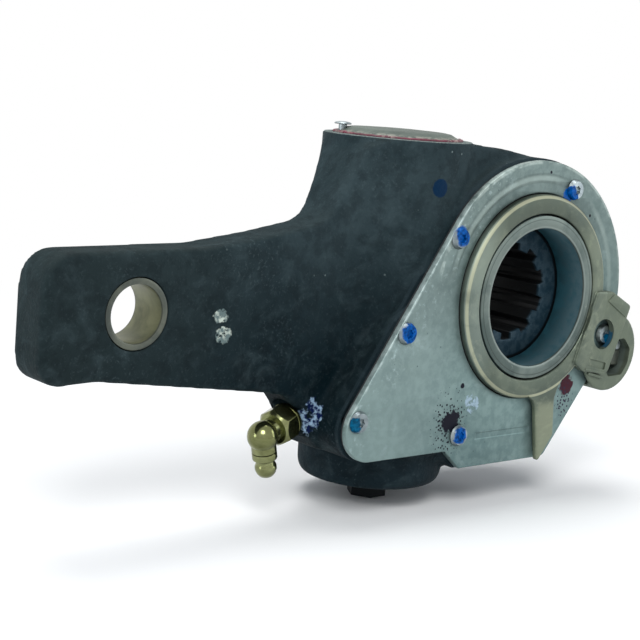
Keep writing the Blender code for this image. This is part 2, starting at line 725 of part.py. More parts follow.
def build_cover_screws():
    seat = COVER_FRONT + GAP
    top = seat + SCREW_HEAD_HEIGHT
    profile = [
        (0, top - SCREW_SOCKET_DEPTH),
        (SCREW_SOCKET_RADIUS, top - SCREW_SOCKET_DEPTH),
        (SCREW_SOCKET_RADIUS, top),
        (SCREW_HEAD_RADIUS - 0.8 * MM, top),
        (SCREW_HEAD_RADIUS, seat + 0.3 * MM),
        (SCREW_HEAD_RADIUS, seat),
        (SCREW_SHANK_RADIUS, seat),
        (SCREW_SHANK_RADIUS, seat - SCREW_LENGTH),
        (0, seat - SCREW_LENGTH),
    ]
    for i, place in enumerate(SCREW_PLACES, 1):
        turned(f"cover_screw_{i}", profile, FRONT, BRIGHT_STEEL, 16, place)


def involute(angle):
    return math.tan(angle) - angle


def gear_outline(teeth, module, root, tip, middle):
    """Involute teeth, with the middle of one tooth at the given angle."""
    pitch = teeth * module / 2
    base = pitch * math.cos(PRESSURE_ANGLE)
    half = (math.pi * module / 2 - BACKLASH) / 2 / pitch + involute(PRESSURE_ANGLE)
    radii = [root, base] + [base + (tip - base) * k / 2 for k in (1, 2)]
    points = []
    for tooth in range(teeth):
        centre = middle + 2 * math.pi * tooth / teeth
        flank = []
        for radius in radii:
            slope = math.acos(min(1, base / max(radius, base)))
            flank.append((radius, half - involute(slope)))
        for radius, spread in flank:
            points.append((radius * math.cos(centre - spread), radius * math.sin(centre - spread)))
        for radius, spread in reversed(flank):
            points.append((radius * math.cos(centre + spread), radius * math.sin(centre + spread)))
    return points


def turn_points(points, angle, level):
    c, s = math.cos(angle), math.sin(angle)
    return [(x * c - y * s, x * s + y * c, level) for x, y in points]


def spline_outline():
    """Ten straight-sided spaces round the bore."""
    half = SPLINE_SPACE_WIDTH / 2
    pitch = 2 * math.pi / SPLINE_TEETH
    outer = math.asin(half / SPLINE_MAJOR_RADIUS)
    inner = math.asin(half / SPLINE_MINOR_RADIUS)
    points = []
    for space in range(SPLINE_TEETH):
        centre = math.pi / 2 + space * pitch
        points += arc((0, 0), SPLINE_MAJOR_RADIUS, centre - outer, centre + outer, math.radians(9))
        points += arc((0, 0), SPLINE_MINOR_RADIUS, centre + inner, centre + pitch - inner, math.radians(9))
    return points


def build_worm_wheel():
    """Wheel, hub neck and splined bore in one steel piece, turning about the spline axis."""
    front_edge = WHEEL_WIDTH / 2 - WORM_SET_BACK
    back_edge = front_edge - WHEEL_WIDTH
    seal_low = HUB_SEAL_LEVEL - 1.3 * HUB_SEAL_CORD
    seal_high = HUB_SEAL_LEVEL + 1.3 * HUB_SEAL_CORD
    groove = HUB_NECK_RADIUS - 1.8 * HUB_SEAL_CORD
    shoulder_back = REAR_WALL_FRONT + 0.4 * MM
    front = RING_LEVEL - 0.2 * MM
    profile = [
        (0, front),
        (HUB_NECK_RADIUS - 0.4 * MM, front),
        (HUB_NECK_RADIUS, front - 0.4 * MM),
        (HUB_NECK_RADIUS, seal_high),
        (groove, seal_high),
        (groove, seal_low),
        (HUB_NECK_RADIUS, seal_low),
        (HUB_NECK_RADIUS, DISC_BACK - 0.8 * MM),
        (HUB_SHOULDER_RADIUS, DISC_BACK - 0.8 * MM),
        (HUB_SHOULDER_RADIUS, front_edge - 0.5 * MM),
        (WHEEL_ROOT_RADIUS - 0.5 * MM, front_edge - 0.5 * MM),
        (WHEEL_ROOT_RADIUS - 0.5 * MM, back_edge + 0.5 * MM),
        (HUB_SHOULDER_RADIUS, back_edge + 0.5 * MM),
        (HUB_SHOULDER_RADIUS, shoulder_back),
        (HUB_TAIL_RADIUS, shoulder_back),
        (HUB_TAIL_RADIUS, HUB_REAR_LEVEL),
        (0, HUB_REAR_LEVEL),
    ]
    wheel = turned("worm_wheel", profile, FRONT, GEAR_STEEL)
    half_tooth = math.pi / WHEEL_TEETH
    outline = gear_outline(
        WHEEL_TEETH, WHEEL_MODULE, WHEEL_ROOT_RADIUS, WHEEL_TIP_RADIUS, math.pi + half_tooth
    )
    twist = WORM_LEAD / (2 * math.pi * WORM_PITCH_RADIUS * WHEEL_PITCH_RADIUS)
    rows = 3
    sections = []
    for row in range(rows):
        level = back_edge + WHEEL_WIDTH * row / (rows - 1)
        sections.append(turn_points(outline, twist * (level + WORM_SET_BACK), level))
    teeth = swept("wheel_teeth", sections, FRONT)
    recess_floor = RING_LEVEL - HUB_RECESS_DEPTH
    spline = plate("spline_bore", [spline_outline()], HUB_REAR_LEVEL - 1 * MM, RING_LEVEL + 1 * MM)
    recess = turned("hub_recess", rod_profile(HUB_RECESS_RADIUS, recess_floor, RING_LEVEL + 1 * MM))
    join(wheel, teeth)
    cut(wheel, spline, recess)


def build_worm():
    """Worm shaft with its thread, top journal and the adjusting hexagon under the boss."""
    hex_top = BOSS_BOTTOM - GAP
    profile = [
        (0, SHAFT_TOP),
        (WORM_SHAFT_RADIUS - 1 * MM, SHAFT_TOP),
        (WORM_SHAFT_RADIUS, SHAFT_TOP - 1 * MM),
        (WORM_SHAFT_RADIUS, BEARING_SEAT),
        (WORM_COLLAR_RADIUS, BEARING_SEAT),
        (WORM_COLLAR_RADIUS, WORM_THREAD_LENGTH / 2 + 1 * MM),
        (WORM_SHAFT_RADIUS, WORM_THREAD_LENGTH / 2 + 1 * MM),
        (WORM_SHAFT_RADIUS, hex_top),
        (0, hex_top),
    ]
    worm = turned("worm_shaft", profile, WORM, GEAR_STEEL, 32)
    flank = math.tan(PRESSURE_ANGLE)
    middle = (WORM_LEAD / 2 - BACKLASH) / 2
    buried = WORM_SHAFT_RADIUS - 0.5 * MM
    wide = middle + (WORM_PITCH_RADIUS - buried) * flank
    narrow = middle - WHEEL_MODULE * flank
    turns = (WORM_THREAD_LENGTH - 2 * wide) / WORM_LEAD
    count = round(turns * 24)
    sections = []
    for i in range(count + 1):
        angle = 2 * math.pi * turns * (i / count - 0.5)
        z = WORM_LEAD * angle / (2 * math.pi)
        c, s = math.cos(angle), math.sin(angle)
        corners = ((buried, z - wide), (WORM_TIP_RADIUS, z - narrow), (WORM_TIP_RADIUS, z + narrow), (buried, z + wide))
        sections.append([(r * c, r * s, height) for r, height in corners])
    thread = swept("worm_thread", sections, WORM)
    hexagon = plate(
        "adjusting_hexagon",
        [circle((0, 0), HEX_ACROSS_FLATS / 2 / math.cos(math.pi / 6), 6)],
        hex_top - HEX_LENGTH,
        hex_top + 1 * MM,
        WORM,
    )
    join(worm, thread, hexagon)
    coupling = ring_profile(
        BEARING_BORE, WORM_BORE_RADIUS - 2.6 * MM, COUPLING_TOP - COUPLING_HEIGHT, COUPLING_TOP
    )
    turned("worm_coupling", coupling, WORM, BRIGHT_STEEL, 32)


def build_worm_stack():
    """What holds the worm in its bore, from the end cap down to the shaft seal."""
    bearing_top = BEARING_SEAT + BEARING_HEIGHT
    bore = BEARING_BORE
    outer = WORM_BORE_RADIUS - GAP
    turned("worm_bearing", ring_profile(bore, outer, BEARING_SEAT + GAP, bearing_top), WORM, BRIGHT_STEEL, 32)
    washer_low = bearing_top + GAP
    washer_high = washer_low + WASHER_HEIGHT
    washer = ring_profile(bore, SPRING_CHAMBER_RADIUS - RUNNING_GAP, washer_low, washer_high)
    turned("spring_washer", washer, WORM, DARK_STEEL, 32)
    spring_radius = SPRING_CHAMBER_RADIUS - RUNNING_GAP - SPRING_WIRE_RADIUS
    coil(
        "worm_spring",
        spring_radius,
        SPRING_WIRE_RADIUS,
        SPRING_TURNS,
        washer_high + GAP,
        CAP_SEAT,
        WORM,
        DARK_STEEL,
    )
    bush_top = LOWER_BORE_TOP - GAP
    bush_outer = LOWER_BORE_RADIUS - GAP
    turned("worm_bush", ring_profile(bore, bush_outer, bush_top - LOWER_BUSH_LENGTH, bush_top), WORM, BRONZE, 32)
    seal_top = bush_top - LOWER_BUSH_LENGTH - GAP
    turned("shaft_seal", ring_profile(bore, bush_outer, SEAL_BOTTOM, seal_top), WORM, RUBBER, 32)


def build_end_cap():
    rim = HEAD_TOP + CAP_RIM_HEIGHT
    cap_radius = CAP_BORE_RADIUS - GAP
    shoulder = rim + CAP_CONE_HEIGHT
    flat = cap_radius - CAP_CONE_RUN
    profile = [
        (0, shoulder + CAP_CROWN),
        (flat * 0.5, shoulder + CAP_CROWN * 0.8),
        (flat, shoulder),
        (cap_radius, rim),
        (cap_radius, CAP_SEAT + GAP),
        (0, CAP_SEAT + GAP),
    ]
    end_cap = turned("end_cap", profile, WORM, CAP_STEEL, 48)
    low = HEAD_TOP + GAP
    inner = cap_radius + GAP
    sealant = [
        (inner, low + SEALANT_HEIGHT * 0.8),
        (inner + SEALANT_WIDTH * 0.4, low + SEALANT_HEIGHT),
        (inner + SEALANT_WIDTH, low + SEALANT_HEIGHT * 0.35),
        (inner + SEALANT_WIDTH, low),
        (inner, low),
    ]
    turned("cap_sealant", sealant, WORM, SEALANT, 48)
    reach = cap_radius - STUD_INSET
    place = (reach * math.cos(STUD_ANGLE), reach * math.sin(STUD_ANGLE))
    head = shoulder + CAP_CROWN * 0.5 + GAP
    foot = CAP_SEAT + 2 * MM
    stud = [
        (0, head + 0.9 * MM),
        (STUD_HEAD_RADIUS * 0.6, head + 0.8 * MM),
        (STUD_HEAD_RADIUS, head + 0.4 * MM),
        (STUD_HEAD_RADIUS, head),
        (STUD_SHANK_RADIUS, head),
        (STUD_SHANK_RADIUS, foot + GAP),
        (0, foot + GAP),
    ]
    turned("cap_stud", stud, WORM, BRIGHT_STEEL, SMALL_STEPS, place)
    hole = rod_profile(STUD_SHANK_RADIUS + GAP, foot, head + 5 * MM)
    cut(end_cap, turned("stud_hole", hole, WORM, None, 20, place))


def build_clutch():
    """One-way clutch on the worm: pinion, its sleeve and the wrap spring round it."""
    low = RACK_Z - PINION_WIDTH / 2
    high = RACK_Z + PINION_WIDTH / 2
    sleeve_top = COUPLING_TOP - COUPLING_HEIGHT - GAP
    outline = gear_outline(
        PINION_TEETH,
        RACK_MODULE,
        PINION_PITCH_RADIUS - 1.25 * RACK_MODULE,
        PINION_PITCH_RADIUS + RACK_MODULE,
        -math.pi / 2,
    )
    pinion = plate("clutch_pinion", [outline, circle((0, 0), BEARING_BORE, 32)], low, high, WORM, GEAR_STEEL)
    sleeve = turned(
        "clutch_sleeve",
        ring_profile(BEARING_BORE, CLUTCH_SLEEVE_RADIUS, high - 0.5 * MM, sleeve_top),
        WORM,
        steps=32,
    )
    join(pinion, sleeve)
    spring_radius = CLUTCH_SLEEVE_RADIUS + GAP + CLUTCH_WIRE_RADIUS
    coil(
        "clutch_spring",
        spring_radius,
        CLUTCH_WIRE_RADIUS,
        CLUTCH_TURNS,
        high + GAP,
        sleeve_top,
        WORM,
        BRIGHT_STEEL,
    )
    washer = ring_profile(BEARING_BORE, WORM_BORE_RADIUS - GAP, LOWER_BORE_TOP + GAP, low - GAP)
    turned("pinion_washer", washer, WORM, BRIGHT_STEEL, 32)


def ring_solid():
    seal_low = RING_SEAL_LEVEL - 1.3 * RING_SEAL_CORD
    seal_high = RING_SEAL_LEVEL + 1.3 * RING_SEAL_CORD
    groove = RING_OUTER_RADIUS - 1.75 * RING_SEAL_CORD
    back = HOUSING_FACE
    profile = [
        (RING_INNER_RADIUS, RING_LEVEL),
        (RING_OUTER_RADIUS - RING_CHAMFER, RING_LEVEL),
        (RING_OUTER_RADIUS, RING_LEVEL - RING_CHAMFER),
        (RING_OUTER_RADIUS, seal_high),
        (groove, seal_high),
        (groove, seal_low),
        (RING_OUTER_RADIUS, seal_low),
        (RING_OUTER_RADIUS, back),
        (RING_INNER_RADIUS, back),
    ]
    return turned("control_arm", profile, FRONT, ARM_ZINC)


def lug_outline():
    """The lug's flat front face: a tab at the top and a straight edge at the right."""
    return [(COVER_RADIUS + out, z) for out, z in LUG_FACE_POINTS]


def pointer_outline():
    """The wear pointer under the ring, cut obliquely to a tip."""
    top = -(RING_OUTER_RADIUS - 3.2 * MM)
    return [
        (3.9 * MM, top),
        (12.1 * MM, top + 2.0 * MM),
        (14.2 * MM, POINTER_TIP + 7.9 * MM),
        (8.3 * MM, POINTER_TIP),
        (7.3 * MM, POINTER_TIP + 0.1 * MM),
        (3.9 * MM, -RING_OUTER_RADIUS - 1.4 * MM),
    ]


def build_control_arm():
    """Anchored arm: ring through the cover, lug with its eye, and the wear pointer."""
    control_arm = ring_solid()
    eye_outline = circle(LUG_EYE, LUG_EYE_RADIUS, 40)
    eye_back = LUG_BACK - LUG_EYE_DEPTH
    eye_wall = plate("lug_eye_wall", [eye_outline], eye_back, LUG_BACK + 0.4 * MM)
    cut(eye_wall, turned("housing_side_room", rod_profile(DRUM_RADIUS + 1.4 * MM, eye_back - 1 * MM, LUG_BACK)))
    join(
        control_arm,
        plate("lug_face", [lug_outline()], LUG_BACK, LUG_LEVEL),
        plate("lug_eye_face", [eye_outline], LUG_BACK, LUG_EYE_FRONT),
        eye_wall,
        plate("pointer", [pointer_outline()], LUG_BACK, POINTER_LEVEL),
    )
    window = [(COVER_RADIUS + out, z) for out, z in LUG_WINDOW_POINTS]
    head_reach = SCREW_HEAD_RADIUS + GAP
    anchor_screw = SCREW_PLACES[-1]
    screw_orbit = math.hypot(*anchor_screw)
    screw_angle = math.atan2(anchor_screw[1], anchor_screw[0])
    margin = (head_reach + 0.5 * MM) / screw_orbit
    relief = [
        *arc((0, 0), screw_orbit + head_reach, screw_angle - SWING_UP - margin, screw_angle + SWING_DOWN + margin),
        *arc((0, 0), screw_orbit - head_reach, screw_angle + SWING_DOWN + margin, screw_angle - SWING_UP - margin),
    ]
    relief_top = COVER_FRONT + GAP + SCREW_HEAD_HEIGHT + GAP
    cut(
        control_arm,
        plate("lug_hole", [circle(LUG_HOLE, LUG_HOLE_RADIUS, 32)], LUG_BACK - 1 * MM, LUG_LEVEL + 1 * MM),
        plate("lug_window", [window], eye_back + LUG_FLOOR_THICKNESS, LUG_LEVEL + 1 * MM),
        plate("screw_relief", [relief], LUG_BACK - 1 * MM, relief_top),
        turned("ring_bore", rod_profile(RING_INNER_RADIUS, HOUSING_FACE - 1 * MM, LUG_LEVEL + 1 * MM)),
    )
    build_lug_insert(eye_back + LUG_FLOOR_THICKNESS + GAP)


def build_lug_insert(floor):
    """The block and the pin held in the lug's window."""
    left = COVER_RADIUS + LUG_BLOCK_LEFT
    right = COVER_RADIUS + LUG_BLOCK_RIGHT
    block = box_outline(left, right, LUG_BLOCK_BOTTOM, LUG_BLOCK_TOP)
    plate("lug_block", [block], floor, floor + 4.4 * MM, FRONT, BRONZE)
    turned("lug_pin", rod_profile(1.5 * MM, floor, floor + 4.8 * MM), FRONT, BRIGHT_STEEL, 16, LUG_PIN)


def build_control_disc():
    """The disc behind the cover, with a slotted ear at the bottom that drives the rack."""
    slot_half = RACK_PIN_RADIUS + 0.6 * MM
    slot_floor = -(EAR_ARM - RACK_PIN_RADIUS - 0.2 * MM)
    down = -math.pi / 2
    slot_angle = math.asin(slot_half / EAR_RADIUS)
    step = math.radians(6)
    outline = [
        *arc((0, 0), DISC_RADIUS, down + EAR_HALF_ANGLE, down - EAR_HALF_ANGLE + 2 * math.pi, step),
        *arc((0, 0), EAR_RADIUS, down - EAR_HALF_ANGLE, down - slot_angle, step),
        (-slot_half, slot_floor),
        (slot_half, slot_floor),
        *arc((0, 0), EAR_RADIUS, down + slot_angle, down + EAR_HALF_ANGLE, step),
    ]
    bore = circle((0, 0), RING_INNER_RADIUS, ROUND_STEPS)
    plate("control_disc", [outline, bore], DISC_BACK, DISC_FRONT, FRONT, BRIGHT_STEEL)


def rack_outline():
    """The rack from above, in x and level: teeth towards the pinion, flat front."""
    pitch = math.pi * RACK_MODULE
    slope = math.tan(PRESSURE_ANGLE)
    tip = RACK_PITCH_LEVEL - RACK_MODULE
    root = RACK_PITCH_LEVEL + 1.25 * RACK_MODULE
    half = (pitch / 2 - BACKLASH) / 2
    points = [(RACK_LEFT, RACK_FRONT), (RACK_LEFT, root)]
    first = WORM_X - pitch * (RACK_TEETH + 1) / 2
    for tooth in range(RACK_TEETH):
        x = first + pitch * tooth
        root_half = half + (root - RACK_PITCH_LEVEL) * slope
        tip_half = half - RACK_MODULE * slope
        points += [(x - root_half, root), (x - tip_half, tip), (x + tip_half, tip), (x + root_half, root)]
    return points + [(RACK_RIGHT, root), (RACK_RIGHT, RACK_FRONT)]


def build_rack():
    low = RACK_Z - RACK_HEIGHT / 2
    high = RACK_Z + RACK_HEIGHT / 2
    flipped = [(x, -level) for x, level in rack_outline()]
    rack = plate("rack", [flipped], low, high, None, GEAR_STEEL)
    pin = turned(
        "rack_pin",
        rod_profile(RACK_PIN_RADIUS, RACK_FRONT - 1 * MM, DISC_FRONT - 0.2 * MM),
        steps=16,
        place=(0, RACK_Z),
    )
    pad = plate(
        "rack_pad",
        [box_outline(RACK_LEFT, -30.0 * MM, low, high)],
        RACK_FRONT - 1 * MM,
        DISC_FRONT - 0.2 * MM,
    )
    join(rack, pin, pad)
    spring_level = (RACK_FRONT + RACK_PITCH_LEVEL + 1.25 * RACK_MODULE) / 2
    along_x = new_empty("rack_spring_frame", (RACK_LEFT, -spring_level, RACK_Z), (0, math.pi / 2, 0))
    bore = turned("rack_spring_bore", rod_profile(RACK_SPRING_BORE, -1 * MM, RACK_SPRING_DEPTH), along_x, steps=16)
    cut(rack, bore)
    channel_end = -EAR_ARM * SWING_DOWN - 1.6 * MM
    coil(
        "rack_spring",
        RACK_SPRING_BORE - GAP - 0.35 * MM,
        0.35 * MM,
        7,
        channel_end + GAP,
        RACK_SPRING_DEPTH - GAP,
        along_x,
        BRIGHT_STEEL,
        6,
    )


def build_nipple():
    """Elbowed grease nipple: hexagon adapter, pressed-in head and its check ball."""
    hex_low = GAP + NIPPLE_COLLAR_HEIGHT
    hex_high = hex_low + NIPPLE_HEX_HEIGHT
    neck = NIPPLE_BALL_RADIUS - 0.9 * MM
    profile = [
        (0, NIPPLE_BALL_REACH),
        (neck, NIPPLE_BALL_REACH),
        (neck, hex_high - 1 * MM),
        (NIPPLE_STEM_RADIUS + 1 * MM, hex_high - 1 * MM),
        (NIPPLE_STEM_RADIUS + 1 * MM, hex_low),
        (NIPPLE_COLLAR_RADIUS, hex_low),
        (NIPPLE_COLLAR_RADIUS, GAP),
        (NIPPLE_STEM_RADIUS, GAP),
        (NIPPLE_STEM_RADIUS, -NIPPLE_STEM_LENGTH),
        (0, -NIPPLE_STEM_LENGTH),
    ]
    adapter = turned("nipple_adapter", profile, NIPPLE, YELLOW_ZINC, SMALL_STEPS)
    corner = NIPPLE_HEX_ACROSS_FLATS / 2 / math.cos(math.pi / 6)
    hexagon = plate("nipple_hexagon", [circle((0, 0), corner, 6)], hex_low - 0.2 * MM, hex_high, NIPPLE)
    ball_mesh = bpy.data.meshes.new("nipple_ball")
    form = bmesh.new()
    bmesh.ops.create_uvsphere(form, u_segments=20, v_segments=12, radius=NIPPLE_BALL_RADIUS)
    form.to_mesh(ball_mesh)
    form.free()
    ball = add_object("nipple_ball", ball_mesh, NIPPLE, None)
    ball.location = (0, 0, NIPPLE_BALL_REACH)
    nozzle = bpy.data.objects.new("nozzle_frame", None)
    PARTS.objects.link(nozzle)
    nozzle.parent = NIPPLE
    nozzle.location = (0, 0, NIPPLE_BALL_REACH)
    nozzle.rotation_euler = (0, math.pi / 2, 0)
    seat = NIPPLE_BALL_RADIUS
    boss = turned("nozzle_boss", rod_profile(neck, 0, seat), nozzle, steps=SMALL_STEPS)
    socket = turned(
        "nozzle_socket", rod_profile(NIPPLE_SOCKET_RADIUS, seat - 3 * MM, seat + 1 * MM), nozzle, steps=16
    )
    join(adapter, hexagon, ball, boss)
    cut(adapter, socket)
    build_nipple_head(nozzle, seat + GAP, neck)


def build_nipple_head(frame, seat, neck):
    tip = NIPPLE_TIP_REACH
    waist = NIPPLE_TIP_RADIUS - 0.65 * MM
    passage = CHECK_BALL_RADIUS + GAP
    profile = [
        (passage, tip),
        (NIPPLE_TIP_RADIUS - 1.1 * MM, tip),
        (NIPPLE_TIP_RADIUS, tip - 2.4 * MM),
        (NIPPLE_TIP_RADIUS - 0.2 * MM, tip - 3.6 * MM),
        (waist, tip - 4.4 * MM),
        (waist, tip - 4.9 * MM),
        (neck, tip - 5.6 * MM),
        (neck, seat),
        (NIPPLE_SOCKET_RADIUS - GAP, seat),
        (NIPPLE_SOCKET_RADIUS - GAP, seat - 2.6 * MM),
        (passage, seat - 2.6 * MM),
    ]
    turned("nipple_head", profile, frame, YELLOW_ZINC, SMALL_STEPS)
    bpy.ops.mesh.primitive_uv_sphere_add(segments=12, ring_count=8, radius=CHECK_BALL_RADIUS)
    made = bpy.context.object
    mesh = made.data
    bpy.data.objects.remove(made, do_unlink=True)
    smooth(mesh)
    ball = add_object("nipple_check_ball", mesh, frame, BRIGHT_STEEL)
    ball.location = (0, 0, tip - CHECK_BALL_RADIUS - 0.1 * MM)


def build_o_rings():
    hub_radius = (HUB_NECK_RADIUS - 1.8 * HUB_SEAL_CORD + RING_INNER_RADIUS) / 2
    o_ring("hub_seal", hub_radius, HUB_SEAL_CORD, HUB_SEAL_LEVEL)
    ring_radius = (RING_OUTER_RADIUS - 1.75 * RING_SEAL_CORD + RING_OUTER_RADIUS + GAP) / 2
    o_ring("ring_seal", ring_radius, RING_SEAL_CORD, RING_SEAL_LEVEL)
    groove = HUB_TAIL_RADIUS + GAP + 2 * REAR_SEAL_CORD - 0.1 * MM
    o_ring("rear_seal", (groove + HUB_TAIL_RADIUS) / 2, REAR_SEAL_CORD, REAR_SEAL_LEVEL)


def screw_places():
    """The six cover screws, as x and z from the spline axis."""
    round_top = (
        (SCREW_TOP_INSET, SCREW_TOP_ANGLE),
        (SCREW_LEFT_INSET, SCREW_LEFT_ANGLE),
        (SCREW_RIGHT_INSET, SCREW_RIGHT_ANGLE),
    )
    top, left, right = [
        ((COVER_RADIUS - inset) * math.cos(angle), (COVER_RADIUS - inset) * math.sin(angle))
        for inset, angle in round_top
    ]
    edge = tangent_angle(HEEL, HEEL_RADIUS, -1)
    out = Vector((math.cos(edge), math.sin(edge)))
    low = Vector(HEEL) + out * (HEEL_RADIUS - SCREW_SIDE_INSET)
    high = out * (COVER_RADIUS - SCREW_SIDE_INSET)
    side = tuple(low.lerp(high, SCREW_SIDE_SHARE))
    heel = (HEEL[0] - 5.8 * MM, HEEL[1] + 2.9 * MM)
    step = (STEP_RIGHT - 2.0 * MM, HEEL[1] - 5.0 * MM)
    return top, left, side, heel, step, right


# Places that several pieces share
SCREW_PLACES = screw_places()
BUSH_RADIUS = CLEVIS_PIN_BORE / 2 + BUSH_WALL
BEARING_BORE = WORM_SHAFT_RADIUS + GAP
SHAFT_TOP = BEARING_SEAT + BEARING_HEIGHT + WASHER_HEIGHT + 11 * MM
CAP_SEAT = HEAD_TOP - CAP_DEPTH
SEAL_BOTTOM = LOWER_BORE_TOP - 2 * GAP - LOWER_BUSH_LENGTH - LOWER_SEAL_LENGTH
HUB_SEAL_LEVEL = RING_LEVEL - 3.2 * MM
RING_SEAL_LEVEL = (COVER_FRONT + COVER_BACK) / 2
REAR_SEAL_LEVEL = (REAR_WALL_FRONT + DRUM_BACK) / 2

build_housing()
build_bush()
build_cover()
build_cover_screws()
build_worm_wheel()
build_worm()
build_worm_stack()
build_end_cap()
build_clutch()
build_control_arm()
build_control_disc()
build_rack()
build_nipple()
build_o_rings()
close_seams()
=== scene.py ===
"""Looks of the brake slack adjuster: finer pieces, finishes, studio light and the photograph's camera.

Metres in the shared frame. FRONT is the frame of the cover: its own x and y are X and Z, and its own z
is the level, how far a point lies in front of the arm's middle plane. WORM stands on the worm's axis.
"""

import json
import math

import bmesh
import bpy
from mathutils import Matrix, Vector, noise


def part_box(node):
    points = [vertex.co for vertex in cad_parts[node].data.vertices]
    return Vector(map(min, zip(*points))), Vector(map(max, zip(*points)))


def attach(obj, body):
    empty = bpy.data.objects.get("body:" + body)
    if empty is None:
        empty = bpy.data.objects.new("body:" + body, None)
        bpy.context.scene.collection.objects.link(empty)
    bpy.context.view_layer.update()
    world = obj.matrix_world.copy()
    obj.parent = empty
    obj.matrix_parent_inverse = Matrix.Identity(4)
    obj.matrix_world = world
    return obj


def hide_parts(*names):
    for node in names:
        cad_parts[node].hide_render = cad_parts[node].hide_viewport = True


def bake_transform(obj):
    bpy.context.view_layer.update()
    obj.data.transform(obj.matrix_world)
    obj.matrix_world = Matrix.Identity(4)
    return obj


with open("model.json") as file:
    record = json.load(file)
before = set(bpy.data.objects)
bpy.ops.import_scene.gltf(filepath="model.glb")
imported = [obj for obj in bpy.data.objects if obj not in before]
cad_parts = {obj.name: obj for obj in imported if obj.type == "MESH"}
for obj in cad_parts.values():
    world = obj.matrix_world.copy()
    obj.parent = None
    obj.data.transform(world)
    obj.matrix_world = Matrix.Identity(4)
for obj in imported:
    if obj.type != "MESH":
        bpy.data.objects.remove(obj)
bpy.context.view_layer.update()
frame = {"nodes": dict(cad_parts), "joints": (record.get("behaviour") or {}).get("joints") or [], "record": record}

MM = 0.001


def mm(*values):
    """A point given in millimetres."""
    return tuple(value * MM for value in values)


# Camera, as fitted to the photograph
CAMERA_PLACE = mm(-357.46, -330.39, 64.11)
CAMERA_AZIMUTH = math.radians(-40.96)
CAMERA_ELEVATION = math.radians(8.61)
CAMERA_ROLL = math.radians(4.83)
CAMERA_LENS = 83.9
CAMERA_SHIFT = (-0.0005, -0.0317)
FLOOR_LEVEL = -67.2 * MM
SEEING_RAYS = ("Is Camera Ray", "Is Glossy Ray", "Is Transmission Ray")

# Places and sizes read from the frame
JOINTS = {joint["name"]: joint for joint in frame["joints"]}
WORM_PLACE = Vector(JOINTS["worm_turn"]["pos_m"])
FRONT = Matrix.Rotation(math.pi / 2, 4, "X")
WORM = Matrix.Translation(WORM_PLACE)
SCREWS = [f"cover_screw_{i}" for i in range(1, 7)]
COVER_BACK = -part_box("cover")[1].y
COVER_FRONT = -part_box("cover")[0].y
COVER_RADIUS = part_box("cover")[1].z
HOUSING_FACE = -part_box("cover_gasket")[1].y - 0.3 * MM
HEAD_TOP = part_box("cap_sealant")[0].z - 0.3 * MM
HUB_FRONT = -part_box("worm_wheel")[0].y
HUB_REAR = -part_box("worm_wheel")[1].y
RING_LEVEL = HUB_FRONT + 0.2 * MM
LUG_LEVEL = RING_LEVEL + 1.0 * MM

# Sizes of the finer pieces
HUB_RADIUS = 26.0 * MM
RECESS_RADIUS = 22.1 * MM
RECESS_FLOOR = RING_LEVEL - 12.0 * MM
SPLINE_MAJOR = 15.875 * MM
SPLINE_MINOR = 13.65 * MM
SPLINE_SPACE = 4.95 * MM
SPLINE_TEETH = 10
RING_INNER = HUB_RADIUS + 0.6 * MM
RING_OUTER = RING_INNER + 6.0 * MM
RING_CHAMFER = 1.2 * MM
BOSS_RADIUS = 23.3 * MM
EYE = mm(-139.7, -2.5)
BUSH_INNER = 8.0 * MM
BUSH_OUTER = 9.8 * MM
CAP_RADIUS = 19.0 * MM
HEEL = (-64.5 * MM, 5.4 * MM - COVER_RADIUS)
HEEL_RADIUS = 9.8 * MM
TOE = (11.5 * MM, -COVER_RADIUS - 7.5 * MM)
TOE_RADIUS = 3.0 * MM
STEP_LEFT = -33.0 * MM
STEP_RIGHT = -26.0 * MM
WHEEL_ROOM = 36.0 * MM
WHEEL_FLOOR = -20.0 * MM
REAR_BORE = 27.0 * MM
REAR_LEDGE = -19.2 * MM
WORM_ROOM = 21.5 * MM
WORM_FLOOR = -58.0 * MM
SHAFT_BORE = 9.0 * MM
EYE_BORE = 10.6 * MM
SCREW_BORE = 3.2 * MM
RACK_ROOM = (-69 * MM, 19 * MM, -43 * MM, -28 * MM)
RACK_FLOOR = 2.0 * MM
MACHINING = 3.0 * MM
NIPPLE_FACE = 6.9 * MM
NIPPLE_BORE = 4.5 * MM
NIPPLE_SEAT = Vector(mm(-80.0, -1.0, -37.3))
NIPPLE_DIRECTION = Vector((-0.93, -0.25, -0.27)).normalized()


def nipple_matrix():
    """Own z runs out along the nipple and own x down along its nozzle."""
    out = NIPPLE_DIRECTION
    down = (Vector((0, 0, -1)) - out * -out.z).normalized()
    turn = Matrix((down, out.cross(down), out)).transposed().to_4x4()
    return Matrix.Translation(NIPPLE_SEAT) @ turn


NIPPLE = nipple_matrix()


def grey(value):
    return (value, value, value)


def srgb(red, green, blue):
    """Linear colour of a screen colour given from 0 to 255."""
    parts = [channel / 255 for channel in (red, green, blue)]
    return tuple(c / 12.92 if c <= 0.04045 else ((c + 0.055) / 1.055) ** 2.4 for c in parts)


def darker(colour, share):
    return tuple(channel * share for channel in colour)


